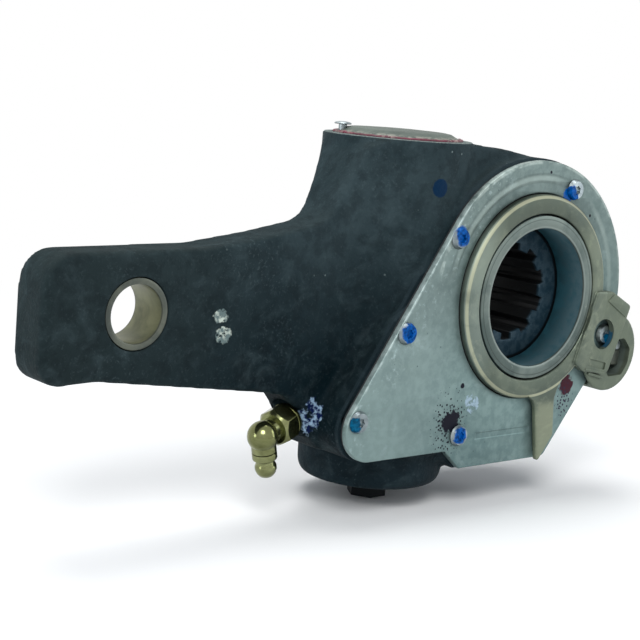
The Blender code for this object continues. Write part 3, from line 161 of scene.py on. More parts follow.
class Value:
    """A socket that takes part in sums: each sum adds the node that works it out."""

    def __init__(self, nodes, socket):
        self.nodes = nodes
        self.socket = socket

    def __add__(self, other):
        return self.nodes.maths("ADD", self, other)

    def __radd__(self, other):
        return self.nodes.maths("ADD", other, self)

    def __sub__(self, other):
        return self.nodes.maths("SUBTRACT", self, other)

    def __rsub__(self, other):
        return self.nodes.maths("SUBTRACT", other, self)

    def __mul__(self, other):
        return self.nodes.maths("MULTIPLY", self, other)

    def __rmul__(self, other):
        return self.nodes.maths("MULTIPLY", other, self)

    def __truediv__(self, other):
        return self.nodes.maths("DIVIDE", self, other)

    def __rtruediv__(self, other):
        return self.nodes.maths("DIVIDE", other, self)

    def __abs__(self):
        return self.nodes.maths("ABSOLUTE", self)


class Nodes:
    """A tree of nodes: of a material, of the world or of the screws."""

    def __init__(self, tree):
        self.tree = tree

    def node(self, kind, output=0, inputs=(), **settings):
        """Adds a node, sets it up, feeds its inputs by name or number and returns one output."""
        made = self.tree.nodes.new(kind)
        for name, value in settings.items():
            setattr(made, name, value)
        for key, value in inputs.items() if isinstance(inputs, dict) else inputs:
            self.feed(made.inputs[key], value)
        return Value(self, made.outputs[output])

    def feed(self, socket, value):
        if isinstance(value, Value):
            self.tree.links.new(value.socket, socket)
        elif isinstance(value, (tuple, list)) and socket.type == "RGBA":
            socket.default_value = (*value[:3], 1)
        else:
            socket.default_value = value

    def maths(self, operation, *values):
        return self.node("ShaderNodeMath", 0, enumerate(values), operation=operation)

    def greatest(self, first, *rest):
        for value in rest:
            first = self.maths("MAXIMUM", first, value)
        return first


class Finish(Nodes):
    """A material built from formulas over the object's own coordinates."""

    def __init__(self, name):
        self.material = bpy.data.materials.new(name)
        self.material.use_nodes = True
        super().__init__(self.material.node_tree)
        self.shader = self.tree.nodes["Principled BSDF"]
        self.place = self.node("ShaderNodeTexCoord", "Object")
        self.x, self.y, self.z = (self.node("ShaderNodeSeparateXYZ", name, {0: self.place}) for name in "XYZ")

    def matt(self, level):
        """Sets how strongly paint and dull metal mirror the white surroundings."""
        self.shader.inputs["Specular IOR Level"].default_value = level

    def ground(self, share, dark, light):
        """The first colour, which the coats go over."""
        self.colour = self.mix(share, dark, light)

    def coat(self, share, colour):
        """Lays a colour over those before it, as far as the share says."""
        self.colour = self.mix(share, self.colour, colour)

    def finished(self, **inputs):
        """Feeds the surface from its coats and the named inputs, and gives the material."""
        self.feed(self.shader.inputs["Base Color"], self.colour)
        for name, value in inputs.items():
            self.feed(self.shader.inputs[name.title()], value)
        return self.material

    def noise(self, scale, detail=3.0, roughness=0.55, where=None, distortion=0.0):
        inputs = {"Vector": where or self.place, "Scale": scale, "Detail": detail}
        inputs |= {"Roughness": roughness, "Distortion": distortion}
        return self.node("ShaderNodeTexNoise", "Fac", inputs)

    def cells(self, scale, where=None):
        return self.node("ShaderNodeTexVoronoi", "Distance", {"Vector": where or self.place, "Scale": scale})

    def ramp(self, value, low, high):
        """0 below low and 1 above high, smooth between; a low above high turns it over."""
        inputs = {"Value": value, "From Min": low, "From Max": high}
        return self.node("ShaderNodeMapRange", 0, inputs, interpolation_type="SMOOTHSTEP")

    def band(self, value, low, high, soft):
        """1 between two limits, with soft ends."""
        return self.ramp(value, low - soft, low + soft) * self.ramp(value, high + soft, high - soft)

    def mix(self, share, low, high):
        """Colour that goes from low to high with the share."""
        return self.node("ShaderNodeMix", 2, {0: share, 6: low, 7: high}, data_type="RGBA")

    def vector(self, operation, *values, output=0):
        return self.node("ShaderNodeVectorMath", output, enumerate(values), operation=operation)

    def distance(self, point, stretch=(1, 1, 1)):
        """Distance from a point, in metres, counted longer along the stretched directions."""
        moved = self.vector("SUBTRACT", self.place, point)
        return self.vector("LENGTH", self.vector("MULTIPLY", moved, stretch), output="Value")

    def radius(self, centre=(0, 0, 0)):
        """Distance from a line through the centre along Y, the way the camshaft runs."""
        return self.distance(centre, (1, 0, 1))

    def turned(self, along=0.02):
        """Coordinates drawn out round the camshaft's axis, for marks that run with the turning."""
        angle = self.maths("ARCTAN2", self.z, self.x)
        return self.node("ShaderNodeCombineXYZ", 0, {0: self.radius(), 1: self.y, 2: angle * along})

    def dab(self, centre, size, ragged=0.35, stretch=(1, 1, 1), grain=900):
        """A blot of paint with a ragged edge, round a point."""
        edge = (self.noise(grain, 3) - 0.5) * (2 * ragged * size)
        return self.ramp(self.distance(centre, stretch) + edge, size, size * 0.82)

    def speckles(self, centre, size, scale, least, stretch):
        """Fine drops round a point, fewer and smaller towards the outside."""
        near = self.ramp(self.distance(centre, stretch), size, size * 0.25)
        return self.ramp(self.cells(scale) / (0.02 + near), least, least * 0.7)

    def flecks(self, scale, size, core, field, low, high, detail=2):
        """Small round marks, only where a wider noise is high."""
        return self.ramp(self.cells(scale), size, core) * self.ramp(self.noise(field, detail), low, high)

    def bump(self, height, strength, distance):
        inputs = {"Height": height, "Strength": strength, "Distance": distance}
        return self.node("ShaderNodeBump", 0, inputs)


def arc(centre, radius, start, end, step=math.radians(3)):
    """Points on an arc, from one angle to another in radians."""
    count = max(1, math.ceil(abs(end - start) / step))
    angles = [start + (end - start) * i / count for i in range(count + 1)]
    return [(centre[0] + radius * math.cos(a), centre[1] + radius * math.sin(a)) for a in angles]


def circle(centre, radius, count=64):
    return arc(centre, radius, 0, 2 * math.pi, 2 * math.pi / count)[:-1]


def box_outline(left, right, bottom, top):
    return [(left, bottom), (right, bottom), (right, top), (left, top)]


def soften(points, radius, steps=4):
    """The same closed outline with each corner rounded."""
    rounded = []
    for before, corner, after in zip(points[-1:] + points[:-1], points, points[1:] + points[:1]):
        corner = Vector(corner)
        ends = []
        for other in (before, after):
            side = Vector(other) - corner
            ends.append(corner + side * min(0.48, radius / max(side.length, 1e-9)))
        for i in range(steps + 1):
            t = i / steps
            spot = ends[0] * (1 - t) ** 2 + corner * (2 * t * (1 - t)) + ends[1] * t**2
            rounded.append(tuple(spot))
    return rounded


def lathe(form, profile, matrix, steps=128):
    """Adds a closed turned shell, from the (radius, level) points of its section."""
    turn = [(math.cos(2 * math.pi * k / steps), math.sin(2 * math.pi * k / steps)) for k in range(steps)]
    rings = []
    for radius, level in profile:
        spots = turn if radius > 1e-7 else [(0, 0)]
        rings.append([form.verts.new(matrix @ Vector((radius * c, radius * s, level))) for c, s in spots])
    follow = rings[1:] + rings[:1] if profile[0][0] > 1e-7 else rings[1:]
    for near, far in zip(rings, follow):
        for k in range(steps):
            n = (k + 1) % steps
            corners = [near[k], near[n]] if len(near) > 1 else [near[0]]
            corners += [far[n], far[k]] if len(far) > 1 else [far[0]]
            form.faces.new(corners)


def rod(form, radius, low, high, matrix, place=(0, 0), steps=64):
    section = [(0, high), (radius, high), (radius, low), (0, low)]
    lathe(form, section, matrix @ Matrix.Translation((*place, 0)), steps)


def plate(form, outlines, low, high, matrix=FRONT, edge=0.0):
    """Adds a flat piece cut to its outlines. The edge rounds its rims; the first outline is the outer one."""
    curve = bpy.data.curves.new("outline", "CURVE")
    curve.dimensions = "2D"
    curve.fill_mode = "BOTH"
    curve.extrude = (high - low) / 2 - edge
    curve.bevel_depth = edge
    curve.bevel_resolution = 2
    curve.offset = -edge
    for index, points in enumerate(outlines):
        turned = sum(a[0] * b[1] - b[0] * a[1] for a, b in zip(points, points[1:] + points[:1]))
        if (turned > 0) != (index == 0):
            points = points[::-1]
        spline = curve.splines.new("POLY")
        spline.points.add(len(points) - 1)
        spline.use_cyclic_u = True
        for spot, (x, y) in zip(spline.points, points):
            spot.co = (x, y, 0, 1)
    mesh = baked(new_object("outline", curve))
    bpy.data.curves.remove(curve)
    mesh.transform(matrix @ Matrix.Translation((0, 0, (low + high) / 2)))
    add_mesh(form, mesh)


def add_mesh(form, mesh):
    """Joins a mesh's faces to the form, closes its seams and drops the mesh."""
    before = set(form.verts)
    form.from_mesh(mesh)
    added = [vert for vert in form.verts if vert not in before]
    bmesh.ops.remove_doubles(form, verts=added, dist=1e-6)
    bpy.data.meshes.remove(mesh)


def cad_form(node):
    """The node's own mesh with its seams closed, to work on as a new piece."""
    form = bmesh.new()
    form.from_mesh(frame["nodes"][node].data)
    bmesh.ops.remove_doubles(form, verts=form.verts, dist=1e-5)
    return form


def new_object(name, data):
    obj = bpy.data.objects.new(name, data)
    bpy.context.scene.collection.objects.link(obj)
    return obj


def as_mesh(shape):
    """A form made a mesh, with its faces outwards; a mesh stays as it is."""
    if isinstance(shape, bpy.types.Mesh):
        return shape
    bmesh.ops.recalc_face_normals(shape, faces=shape.faces)
    mesh = bpy.data.meshes.new("work")
    shape.to_mesh(mesh)
    shape.free()
    return mesh


def baked(obj, *helpers):
    """The mesh that the object's modifiers make, once the working objects are gone."""
    graph = bpy.context.evaluated_depsgraph_get()
    mesh = bpy.data.meshes.new_from_object(obj.evaluated_get(graph))
    for used in (obj, *helpers):
        bpy.data.objects.remove(used, do_unlink=True)
    return mesh


def combined(shape, tool, operation="DIFFERENCE", solver="MANIFOLD"):
    """One closed mesh cut by another, or joined to it."""
    obj, other = new_object("work", as_mesh(shape)), new_object("work", as_mesh(tool))
    step = obj.modifiers.new("step", "BOOLEAN")
    step.operation = operation
    step.solver = solver
    if solver == "EXACT":
        step.use_self = True
    step.object = other
    return baked(obj, other)


def cast_skin(form, voxel, rounds):
    """One skin over overlapping solids, with its edges rounded as sand casting leaves them."""
    obj = new_object("work", as_mesh(form))
    skin = obj.modifiers.new("skin", "REMESH")
    skin.mode = "VOXEL"
    skin.voxel_size = voxel
    ease = obj.modifiers.new("ease", "SMOOTH")
    ease.factor = 0.5
    ease.iterations = rounds
    return baked(obj)


def piece(name, shape, slot, body, *nodes, sharp=35):
    """A finished piece, which rides on the body, if one is given, and stands for the nodes named."""
    mesh = as_mesh(shape)
    mesh.name = name
    mesh.materials.clear()
    mesh.materials.append(FINISHES[slot])
    mesh.shade_smooth()
    mesh.set_sharp_from_angle(angle=math.radians(sharp))
    obj = new_object(name, mesh)
    if body:
        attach(obj, body)
    if nodes:
        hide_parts(*nodes)
    return obj


def round_edges(obj, width, angle=40, segments=2):
    bevel = obj.modifiers.new("edge radius", "BEVEL")
    bevel.width = width
    bevel.segments = segments
    bevel.limit_method = "ANGLE"
    bevel.angle_limit = math.radians(angle)
    bevel.harden_normals = True


def tangent_angle(centre, radius, side):
    """Where the line that touches the cover's round top and a corner circle leaves them."""
    away = math.atan2(centre[1], centre[0])
    return away + side * math.acos((COVER_RADIUS - radius) / math.hypot(*centre))


def cover_outline(grow):
    heel = tangent_angle(HEEL, HEEL_RADIUS, -1) + 2 * math.pi
    toe = tangent_angle(TOE, TOE_RADIUS, 1)
    down = -math.pi / 2
    return [
        *arc((0, 0), COVER_RADIUS + grow, heel, toe, math.radians(2)),
        *arc(TOE, TOE_RADIUS + grow, toe, down, math.radians(8)),
        (STEP_RIGHT - grow / 2, TOE[1] - TOE_RADIUS - grow),
        (STEP_LEFT - grow / 2, HEEL[1] - HEEL_RADIUS - grow),
        *arc(HEEL, HEEL_RADIUS + grow, down, heel - 2 * math.pi, math.radians(4)),
    ]


def screw_place(name):
    low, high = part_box(name)
    return (low.x + high.x) / 2, (low.z + high.z) / 2


def housing_rooms():
    """The housing's chambers and holes as one solid, with the open air in front of them."""
    form = bmesh.new()
    rod(form, WHEEL_ROOM, WHEEL_FLOOR, HOUSING_FACE + 3 * MM, FRONT)
    rod(form, REAR_BORE, -30 * MM, REAR_LEDGE, FRONT)
    rod(form, WORM_ROOM, WORM_FLOOR, HEAD_TOP + 5 * MM, WORM)
    rod(form, SHAFT_BORE, WORM_FLOOR - 4 * MM, WORM_FLOOR + 0.5 * MM, WORM)
    rod(form, EYE_BORE, -9 * MM, 9 * MM, FRONT, EYE)
    rod(form, NIPPLE_FACE, -1.5 * MM, 6 * MM, NIPPLE)
    rod(form, NIPPLE_BORE, -24 * MM, -0.5 * MM, NIPPLE)
    plate(form, [box_outline(*RACK_ROOM)], RACK_FLOOR, HOUSING_FACE + 3.1 * MM)
    for name in SCREWS:
        rod(form, SCREW_BORE, 10 * MM, HOUSING_FACE + 3.2 * MM, FRONT, screw_place(name), 32)
    return combined(form, cad_form("housing"), solver="EXACT")


def solid_casting():
    """The housing before machining: its rooms filled, and more metal on its front face and its head."""
    form = cad_form("housing")
    for vert in form.verts:
        out = math.hypot(vert.co.x - WORM_PLACE.x, vert.co.y - WORM_PLACE.y)
        if out < BOSS_RADIUS + 0.1 * MM and vert.co.z > HEAD_TOP - 0.805 * MM:
            vert.co.z += MACHINING
        if vert.co.y < -HOUSING_FACE + 0.05 * MM:
            vert.co.y -= MACHINING
    proud = MACHINING - 0.5 * MM
    rod(form, WHEEL_ROOM, WHEEL_FLOOR, HOUSING_FACE + proud, FRONT)
    rod(form, REAR_BORE, -26.9 * MM, REAR_LEDGE, FRONT)
    rod(form, WORM_ROOM, WORM_FLOOR - 1.9 * MM, HEAD_TOP + proud, WORM)
    rod(form, EYE_BORE + 1.4 * MM, -6.95 * MM, 6.95 * MM, FRONT, EYE)
    rod(form, NIPPLE_BORE + 1 * MM, -20 * MM, -0.1 * MM, NIPPLE)
    plate(form, [box_outline(*RACK_ROOM)], RACK_FLOOR, HOUSING_FACE + proud)
    for name in SCREWS:
        rod(form, SCREW_BORE - 0.2 * MM, 8 * MM, HOUSING_FACE + proud, FRONT, screw_place(name), 32)
    return form


def build_housing():
    """The casting: one rounded skin, with its machined faces and bores cut after."""
    skin = cast_skin(solid_casting(), 0.9 * MM, 10)
    front = bmesh.new()
    plate(front, [box_outline(-180 * MM, 60 * MM, -70 * MM, 70 * MM)], HOUSING_FACE, HOUSING_FACE + 20 * MM)
    crown = [
        (0, HEAD_TOP + 9 * MM),
        (BOSS_RADIUS + 4 * MM, HEAD_TOP + 9 * MM),
        (BOSS_RADIUS + 4 * MM, HEAD_TOP - 0.6 * MM),
        (BOSS_RADIUS + 0.6 * MM, HEAD_TOP - 0.6 * MM),
        (BOSS_RADIUS + 0.6 * MM, HEAD_TOP - 1.1 * MM),
        (BOSS_RADIUS - 0.5 * MM, HEAD_TOP),
        (0, HEAD_TOP),
    ]
    top = bmesh.new()
    lathe(top, crown, WORM, 160)
    body = combined(combined(skin, front), top)
    body = combined(body, housing_rooms())
    piece("cast_body", body, "painted_iron", "housing", "housing", sharp=50)


BLUE_PAINT = srgb(0, 84, 164)
TEAL_PAINT = srgb(0, 88, 124)
DARK_INK = srgb(4, 6, 22)
MAROON_INK = srgb(54, 8, 26)

# Marks left by hand: on the casting as x, y and z, on the cover as x and z
ARM_DABS = (mm(-112.4, -7, -4.2), mm(-111.0, -7, -9.4))
HEAD_DOT = mm(-42.1, -17.1, 33.4)
FOOT_SPLASH = mm(-76.4, -6.2, -35.4)
INK_BLOT = mm(-31.6, -38.0)
INK_SPRAY = mm(-32.6, -38.5)
INK_DROPS = (
    (mm(-28.0, -27.0), 0.9 * MM, 0.4),
    (mm(23.8, 25.8), 0.55 * MM, 0.3),
    (mm(2.7, 39.5), 0.5 * MM, 0.4),
)
MAROON_BLOT = mm(21.0, -30.2)
MAROON_SPRAY = mm(20.6, -35.0)
PALE_BLOT = mm(-23.2, -33.0)


def on_cover(place, level=COVER_FRONT):
    return (place[0], -level, place[1])


def cast_paint():
    """Dark blue-grey paint over rough cast iron, with chips, touch-up dabs and machined faces, with painted shade
    low down and painted light high up and on upward faces.
    """
    f = Finish("cast_paint")
    grain = f.noise(1100, 4, 0.65)
    lumps = f.noise(230, 4, 0.6)
    patches = f.noise(34, 4, 0.6, distortion=0.5)
    smears = f.noise(130, 5, 0.65, distortion=0.8)
    up = f.node("ShaderNodeSeparateXYZ", "Z", {0: f.node("ShaderNodeNewGeometry", "Normal")})
    # The ground is darker towards the bottom and lighter towards the top: painted shade and painted light.
    low = f.mix(f.ramp(patches, 0.3, 0.72), srgb(2, 17, 22), srgb(10, 26, 32))
    high = f.mix(f.ramp(patches, 0.3, 0.72), srgb(31, 44, 48), srgb(50, 63, 67))
    f.ground(f.ramp(f.z, -32 * MM, 36 * MM), low, high)
    f.coat(f.ramp(f.x, -90 * MM, -140 * MM) * 0.6, srgb(34, 44, 45))
    # Faces turned upwards are lighter: painted light from above.
    f.coat(f.ramp(up, 0.3, 0.95) * 0.4, srgb(42, 50, 50))
    f.coat(f.ramp(f.z, -46 * MM, -52 * MM) * 0.6, srgb(28, 41, 47))
    f.coat(f.ramp(smears, 0.46, 0.74) * 0.35, srgb(60, 74, 78))
    f.coat(f.ramp(lumps, 0.56, 0.36) * 0.3, srgb(8, 15, 19))
    worn = 0.16 + 0.3 * f.ramp(f.noise(26, 3), 0.5, 0.68)
    f.coat(f.ramp(grain, 0.54, 0.72) * worn, srgb(74, 88, 92))
    chips = f.flecks(170, 0.07, 0.035, 48, 0.52, 0.62)
    drawn_out = f.vector("MULTIPLY", f.place, (1, 1, 0.16))
    scratches = f.ramp(f.cells(120, drawn_out), 0.035, 0.015) * f.ramp(f.noise(30, 2), 0.54, 0.64)
    f.coat(f.greatest(chips, scratches) * 0.8, srgb(112, 126, 126))
    arm_dabs = f.greatest(
        f.dab(ARM_DABS[0], 2.1 * MM, 0.5, (0.8, 1, 1)),
        f.dab(ARM_DABS[1], 2.6 * MM, 0.4, (0.9, 1, 1)),
    )
    fleck = f.mix(f.ramp(f.noise(520, 3), 0.4, 0.62), srgb(96, 112, 112), srgb(186, 196, 186))
    f.coat(arm_dabs * f.ramp(f.noise(700, 3), 0.36, 0.46), fleck)
    dot = f.dab(HEAD_DOT, 3.0 * MM, 0.08)
    f.coat(dot * 0.92, srgb(0, 34, 62))
    splash = f.dab(FOOT_SPLASH, 4.2 * MM, 0.7, (1.2, 1, 0.76), 420)
    mottle = f.mix(f.ramp(f.noise(640, 3), 0.42, 0.6), srgb(10, 24, 62), srgb(140, 166, 190))
    f.coat(splash * f.ramp(f.noise(300, 3), 0.4, 0.5), mottle)
    clear_of_boss = f.ramp(f.distance(WORM_PLACE, (1, 1, 0)), BOSS_RADIUS + 0.2 * MM, BOSS_RADIUS + 1.2 * MM)
    machined = f.ramp(f.z, HEAD_TOP - 0.25 * MM, HEAD_TOP - 0.1 * MM)
    lip = f.ramp(f.y, -HOUSING_FACE + 1.5 * MM, -HOUSING_FACE + 1.2 * MM) * clear_of_boss
    f.coat(lip * 0.35, srgb(44, 56, 62))
    f.coat(machined, f.mix(f.ramp(grain, 0.35, 0.7), srgb(96, 106, 106), srgb(132, 140, 136)))
    paint = f.greatest(arm_dabs, splash)
    f.matt(0.05)
    return f.finished(
        roughness=0.52 + 0.16 * f.ramp(patches, 0.3, 0.7) + 0.25 * f.ramp(up, 0.3, 0.95) - 0.1 * dot,
        metallic=0.0,
        normal=f.bump(grain * 0.6 + lumps * 1.1 + smears * 0.6 + paint * 0.5, 0.6, 0.4 * MM),
    )


def cover_plating():
    """Grey-green zinc with clouds, pressed steps round the ring, a pressed band, ink and paint, with painted light
    on the left, painted shade on the right and painted highlights on its upper rim and left edge.
    """
    f = Finish("cover_plating")
    clouds = f.noise(42, 5, 0.62, distortion=0.7)
    mottle = f.noise(330, 4, 0.6)
    fine = f.noise(1700, 2)
    low = f.ramp(f.z, 30 * MM, -45 * MM)
    dark = f.mix(low, srgb(88, 103, 101), srgb(92, 114, 114))
    light = f.mix(low, srgb(120, 136, 133), srgb(124, 146, 144))
    f.ground(f.ramp(clouds, 0.34, 0.68) * 0.65 + 0.35 * f.ramp(mottle, 0.38, 0.62), dark, light)
    stain = f.ramp(f.noise(75, 4, 0.6, distortion=0.8), 0.56, 0.72)
    f.coat(stain * 0.35, srgb(84, 104, 100))
    # The cover's right side is darker and its left side lighter: painted shade and painted light.
    f.coat(f.ramp(f.x, 24 * MM, 44 * MM) * 0.4, srgb(86, 106, 104))
    f.coat(f.ramp(f.x, -26 * MM, -48 * MM) * 0.3, srgb(136, 152, 150))
    pale_clouds = f.ramp(f.noise(90, 5, 0.65, distortion=0.5), 0.55, 0.74)
    f.coat(pale_clouds * 0.35, srgb(160, 178, 178))
    pits = f.flecks(240, 0.09, 0.03, 70, 0.46, 0.58)
    f.coat(pits * 0.7, srgb(52, 66, 68))
    ink = f.greatest(
        f.dab(on_cover(INK_BLOT), 3.4 * MM, 0.8, (0.85, 1, 1), 520),
        f.speckles(on_cover(INK_SPRAY), 13 * MM, 900, 0.42, (1.15, 1, 0.8)),
        *[f.dab(on_cover(place), size, ragged) for place, size, ragged in INK_DROPS],
    )
    f.coat(ink, DARK_INK)
    maroon = f.dab(on_cover(MAROON_BLOT), 2.9 * MM, 0.55, (0.9, 1, 0.8), 420)
    f.coat(maroon, MAROON_INK)
    drops = f.speckles(on_cover(MAROON_SPRAY), 8 * MM, 900, 0.4, (1.2, 1, 0.8))
    f.coat(drops, srgb(34, 28, 50))
    pale = f.dab(on_cover(PALE_BLOT), 2.9 * MM, 0.6, (0.9, 1, 0.9), 420) * f.ramp(f.noise(620, 3), 0.4, 0.56)
    f.coat(pale * 0.7, srgb(164, 186, 206))
    top, left = screw_place(SCREWS[0]), screw_place(SCREWS[1])
    spill = f.greatest(
        f.dab(on_cover((top[0] - 2.6 * MM, top[1] - 1.7 * MM)), 2.6 * MM, 0.2),
        f.dab(on_cover((left[0] + 0.4 * MM, left[1] + 0.8 * MM)), 3.1 * MM, 0.12),
    )
    f.coat(spill, BLUE_PAINT)
    out = f.radius()
    lit_arc = f.ramp(f.z * 0.87 - f.x * 0.5, 22 * MM, 34 * MM)
    right_arc = f.ramp(f.x * 0.94 + f.z * 0.34, 31 * MM, 36 * MM)
    steps = f.ramp(out, 35.9 * MM, 37.1 * MM) + f.ramp(out, 38.2 * MM, 39.4 * MM) * 0.8
    rise = steps * lit_arc + f.ramp(out, 37.8 * MM, 36.7 * MM) * right_arc * 0.8
    sheen = f.band(out, 36.6 * MM, 38.4 * MM, 0.7 * MM) * f.greatest(lit_arc, right_arc * 0.7)
    f.coat(sheen * 0.35, srgb(164, 178, 172))
    # A painted highlight along the upper half of the cover's rim, broken up by noise.
    rim = f.band(out, COVER_RADIUS - 0.9 * MM, COVER_RADIUS + 0.5 * MM, 0.3 * MM) * f.ramp(f.z, 0, 8 * MM)
    f.coat(rim * f.ramp(f.noise(260, 3), 0.4, 0.6) * 0.5, srgb(172, 184, 178))
    slant = tangent_angle(HEEL, HEEL_RADIUS, -1)
    across = f.x * math.cos(slant) + f.z * math.sin(slant)
    # A painted highlight along the cover's straight left edge, broken up by noise.
    edge = f.band(across, COVER_RADIUS - 0.6 * MM, COVER_RADIUS + 0.5 * MM, 0.2 * MM)
    f.coat(edge * f.ramp(f.noise(210, 4), 0.34, 0.54) * 0.65, srgb(176, 192, 190))
    frosted = f.ramp(across, COVER_RADIUS - 16 * MM, COVER_RADIUS - 2 * MM)
    f.coat(f.ramp(f.noise(520, 4, 0.7), 0.55, 0.7) * frosted * 0.5, srgb(172, 190, 190))
    f.matt(0.15)
    band = f.band(f.z, -44.6 * MM, -42.7 * MM, 0.25 * MM) * f.band(f.x, -20 * MM, 4.6 * MM, 0.4 * MM)
    paint = f.greatest(spill, ink, maroon, pale)
    height = rise * 1.6 - band * 1.2 + mottle * 0.16 + fine * 0.05 + paint * 0.5
    return f.finished(
        roughness=0.4 + 0.2 * f.ramp(clouds, 0.3, 0.7) + 0.06 * fine + 0.15 * ink - 0.12 * spill,
        metallic=0.62 * (1 - f.greatest(ink, maroon, drops, spill, pale)),
        normal=f.bump(height, 0.55, 0.28 * MM),
    )


def arm_plating():
    """Olive zinc over a casting, with a painted highlight and glints on its machined chamfers, painted light on
    its left, painted shade at its top and bottom, and small pits.
    """
    f = Finish("olive_plating")
    clouds = f.noise(60, 5, 0.6, distortion=0.6)
    mottle = f.noise(420, 4, 0.6)
    fine = f.noise(1600, 2)
    f.ground(f.ramp(clouds, 0.32, 0.7), srgb(78, 88, 78), srgb(112, 121, 106))
    rings = f.noise(420, 3, 0.6, f.turned())
    f.coat(f.ramp(rings, 0.5, 0.72) * 0.4, srgb(138, 146, 126))
    # Painted shade: the ring is darker towards its top and bottom ends, and darker still at the top.
    ends = f.ramp(abs(f.z), 15 * MM, 28 * MM) * f.ramp(f.radius(), RING_OUTER + 0.8 * MM, RING_OUTER)
    f.coat(ends * 0.45, srgb(68, 80, 72))
    f.coat(f.ramp(f.z, 12 * MM, 28 * MM) * 0.35, srgb(40, 48, 42))
    # Painted light on the ring's left side.
    left = f.ramp(f.x, -17 * MM, -28 * MM)
    f.coat(left * 0.4, srgb(132, 146, 140))
    lug = f.ramp(f.x, 27 * MM, 33 * MM)
    f.coat(lug * 0.5, srgb(94, 104, 90))
    window = f.ramp(f.y, -LUG_LEVEL + 2.5 * MM, -LUG_LEVEL + 3.7 * MM) * f.ramp(f.x, 36 * MM, 38 * MM)
    f.coat(window * 0.6, srgb(120, 134, 130))
    pointer = f.ramp(f.z, -RING_OUTER - 0.5 * MM, -RING_OUTER - 4 * MM) * f.ramp(f.x, 18 * MM, 15 * MM)
    f.coat(pointer * 0.5, srgb(146, 152, 128))
    # A painted highlight on the ring's outer chamfer at its front, with painted glints in it.
    chamfer = f.band(f.radius(), RING_OUTER - 1.15 * MM, RING_OUTER - 0.3 * MM, 0.15 * MM)
    front = f.band(f.y, -RING_LEVEL - 0.4 * MM, -RING_LEVEL + 1.0 * MM, 0.2 * MM)
    f.coat(chamfer * front * 0.6, srgb(182, 184, 156))
    glints = f.flecks(210, 0.11, 0.05, 60, 0.46, 0.56) * chamfer * front
    f.coat(glints, srgb(232, 238, 232))
    stain = f.ramp(f.noise(95, 4, 0.6, distortion=0.8), 0.55, 0.72)
    f.coat(stain * 0.4, srgb(74, 86, 80))
    pits = f.flecks(300, 0.08, 0.03, 80, 0.5, 0.62)
    f.coat(pits * 0.7, srgb(60, 66, 56))
    cast = f.ramp(f.radius(), RING_OUTER + 0.1 * MM, RING_OUTER + 0.8 * MM)
    inside = f.ramp(f.y, -LUG_LEVEL + 0.25 * MM, -LUG_LEVEL + 0.5 * MM)
    teal = f.dab((37.6 * MM, -LUG_LEVEL + 1.2 * MM, -15.6 * MM), 3.4 * MM, 0.3) * inside
    f.coat(teal * 0.8, TEAL_PAINT)
    return f.finished(
        roughness=0.36 + 0.18 * f.ramp(clouds, 0.3, 0.7) + 0.12 * cast,
        metallic=0.72,
        normal=f.bump(mottle * (0.12 + 0.5 * cast) + fine * 0.08 - pits * 0.4, 0.4, 0.22 * MM),
    )


def hub_steel():
    """Turned steel: a grey worn rim with a painted highlight and a painted shade line, a blue-grey recess wall
    with painted shade towards the floor and painted reflections, a dark floor with painted shade in its corner,
    and a greasy black spline.
    """
    f = Finish("hub_steel")
    clouds = f.noise(65, 4, 0.6, distortion=0.5)
    mottle = f.noise(480, 4, 0.6)
    out = f.radius()
    level = f.y * -1.0
    rim = f.ramp(level, HUB_FRONT - 0.9 * MM, HUB_FRONT - 0.4 * MM)
    floor = f.ramp(level, RECESS_FLOOR + 0.5 * MM, RECESS_FLOOR + 0.2 * MM)
    depth = f.ramp(level, RECESS_FLOOR - 0.2 * MM, RECESS_FLOOR - 1.4 * MM) * f.ramp(out, 18 * MM, 17 * MM)
    # The streaks round the recess wall are painted reflections.
    painted_reflections = f.noise(260, 4, 0.6, f.turned())
    # Painted shade: the recess wall darkens towards the floor.
    near = f.ramp(level, RECESS_FLOOR, HUB_FRONT - 1 * MM)
    wall = f.mix(near, srgb(34, 70, 80), srgb(86, 113, 121))
    wall = f.mix(f.ramp(painted_reflections, 0.4, 0.66) * 0.5, wall, srgb(46, 92, 104))
    face = f.mix(f.ramp(clouds, 0.35, 0.65), srgb(76, 88, 85), srgb(106, 117, 112))
    face = f.mix(f.ramp(mottle, 0.6, 0.75) * 0.4, face, srgb(150, 158, 150))
    # A thin dark ring on the hub's face: a painted shade line.
    groove = f.band(out, HUB_RADIUS - 1.3 * MM, HUB_RADIUS - 1.0 * MM, 0.12 * MM)
    face = f.mix(groove * 0.6, face, srgb(48, 56, 52))
    # A painted highlight along the face's inner edge.
    inner_edge_highlight = f.band(out, RECESS_RADIUS, RECESS_RADIUS + 0.6 * MM, 0.25 * MM)
    face = f.mix(inner_edge_highlight * 0.45, face, srgb(142, 152, 148))
    bottom = f.mix(f.ramp(mottle, 0.35, 0.65), srgb(26, 48, 60), srgb(50, 68, 78))
    # Painted shade in the corner where the recess floor meets its wall.
    bottom = f.mix(f.ramp(out, RECESS_RADIUS - 1.3 * MM, RECESS_RADIUS - 0.7 * MM), bottom, srgb(6, 12, 16))
    f.ground(rim, f.mix(floor, wall, bottom), face)
    f.coat(depth, f.mix(f.ramp(mottle, 0.55, 0.75), srgb(7, 9, 10), srgb(20, 24, 26)))
    rear = f.ramp(level, HUB_REAR + 1.2 * MM, HUB_REAR + 0.7 * MM) * f.ramp(out, 16.2 * MM, 17 * MM)
    f.coat(rear, face)
    turning_marks = f.maths("SINE", out * 14000.0)
    f.matt(0.15)
    return f.finished(
        roughness=0.34 + 0.14 * clouds + 0.12 * depth + 0.1 * floor,
        metallic=0.25 + 0.5 * rim - 0.2 * depth,
        normal=f.bump(turning_marks * 0.08 * (rim + floor) + mottle * 0.18, 0.3, 0.15 * MM),
    )


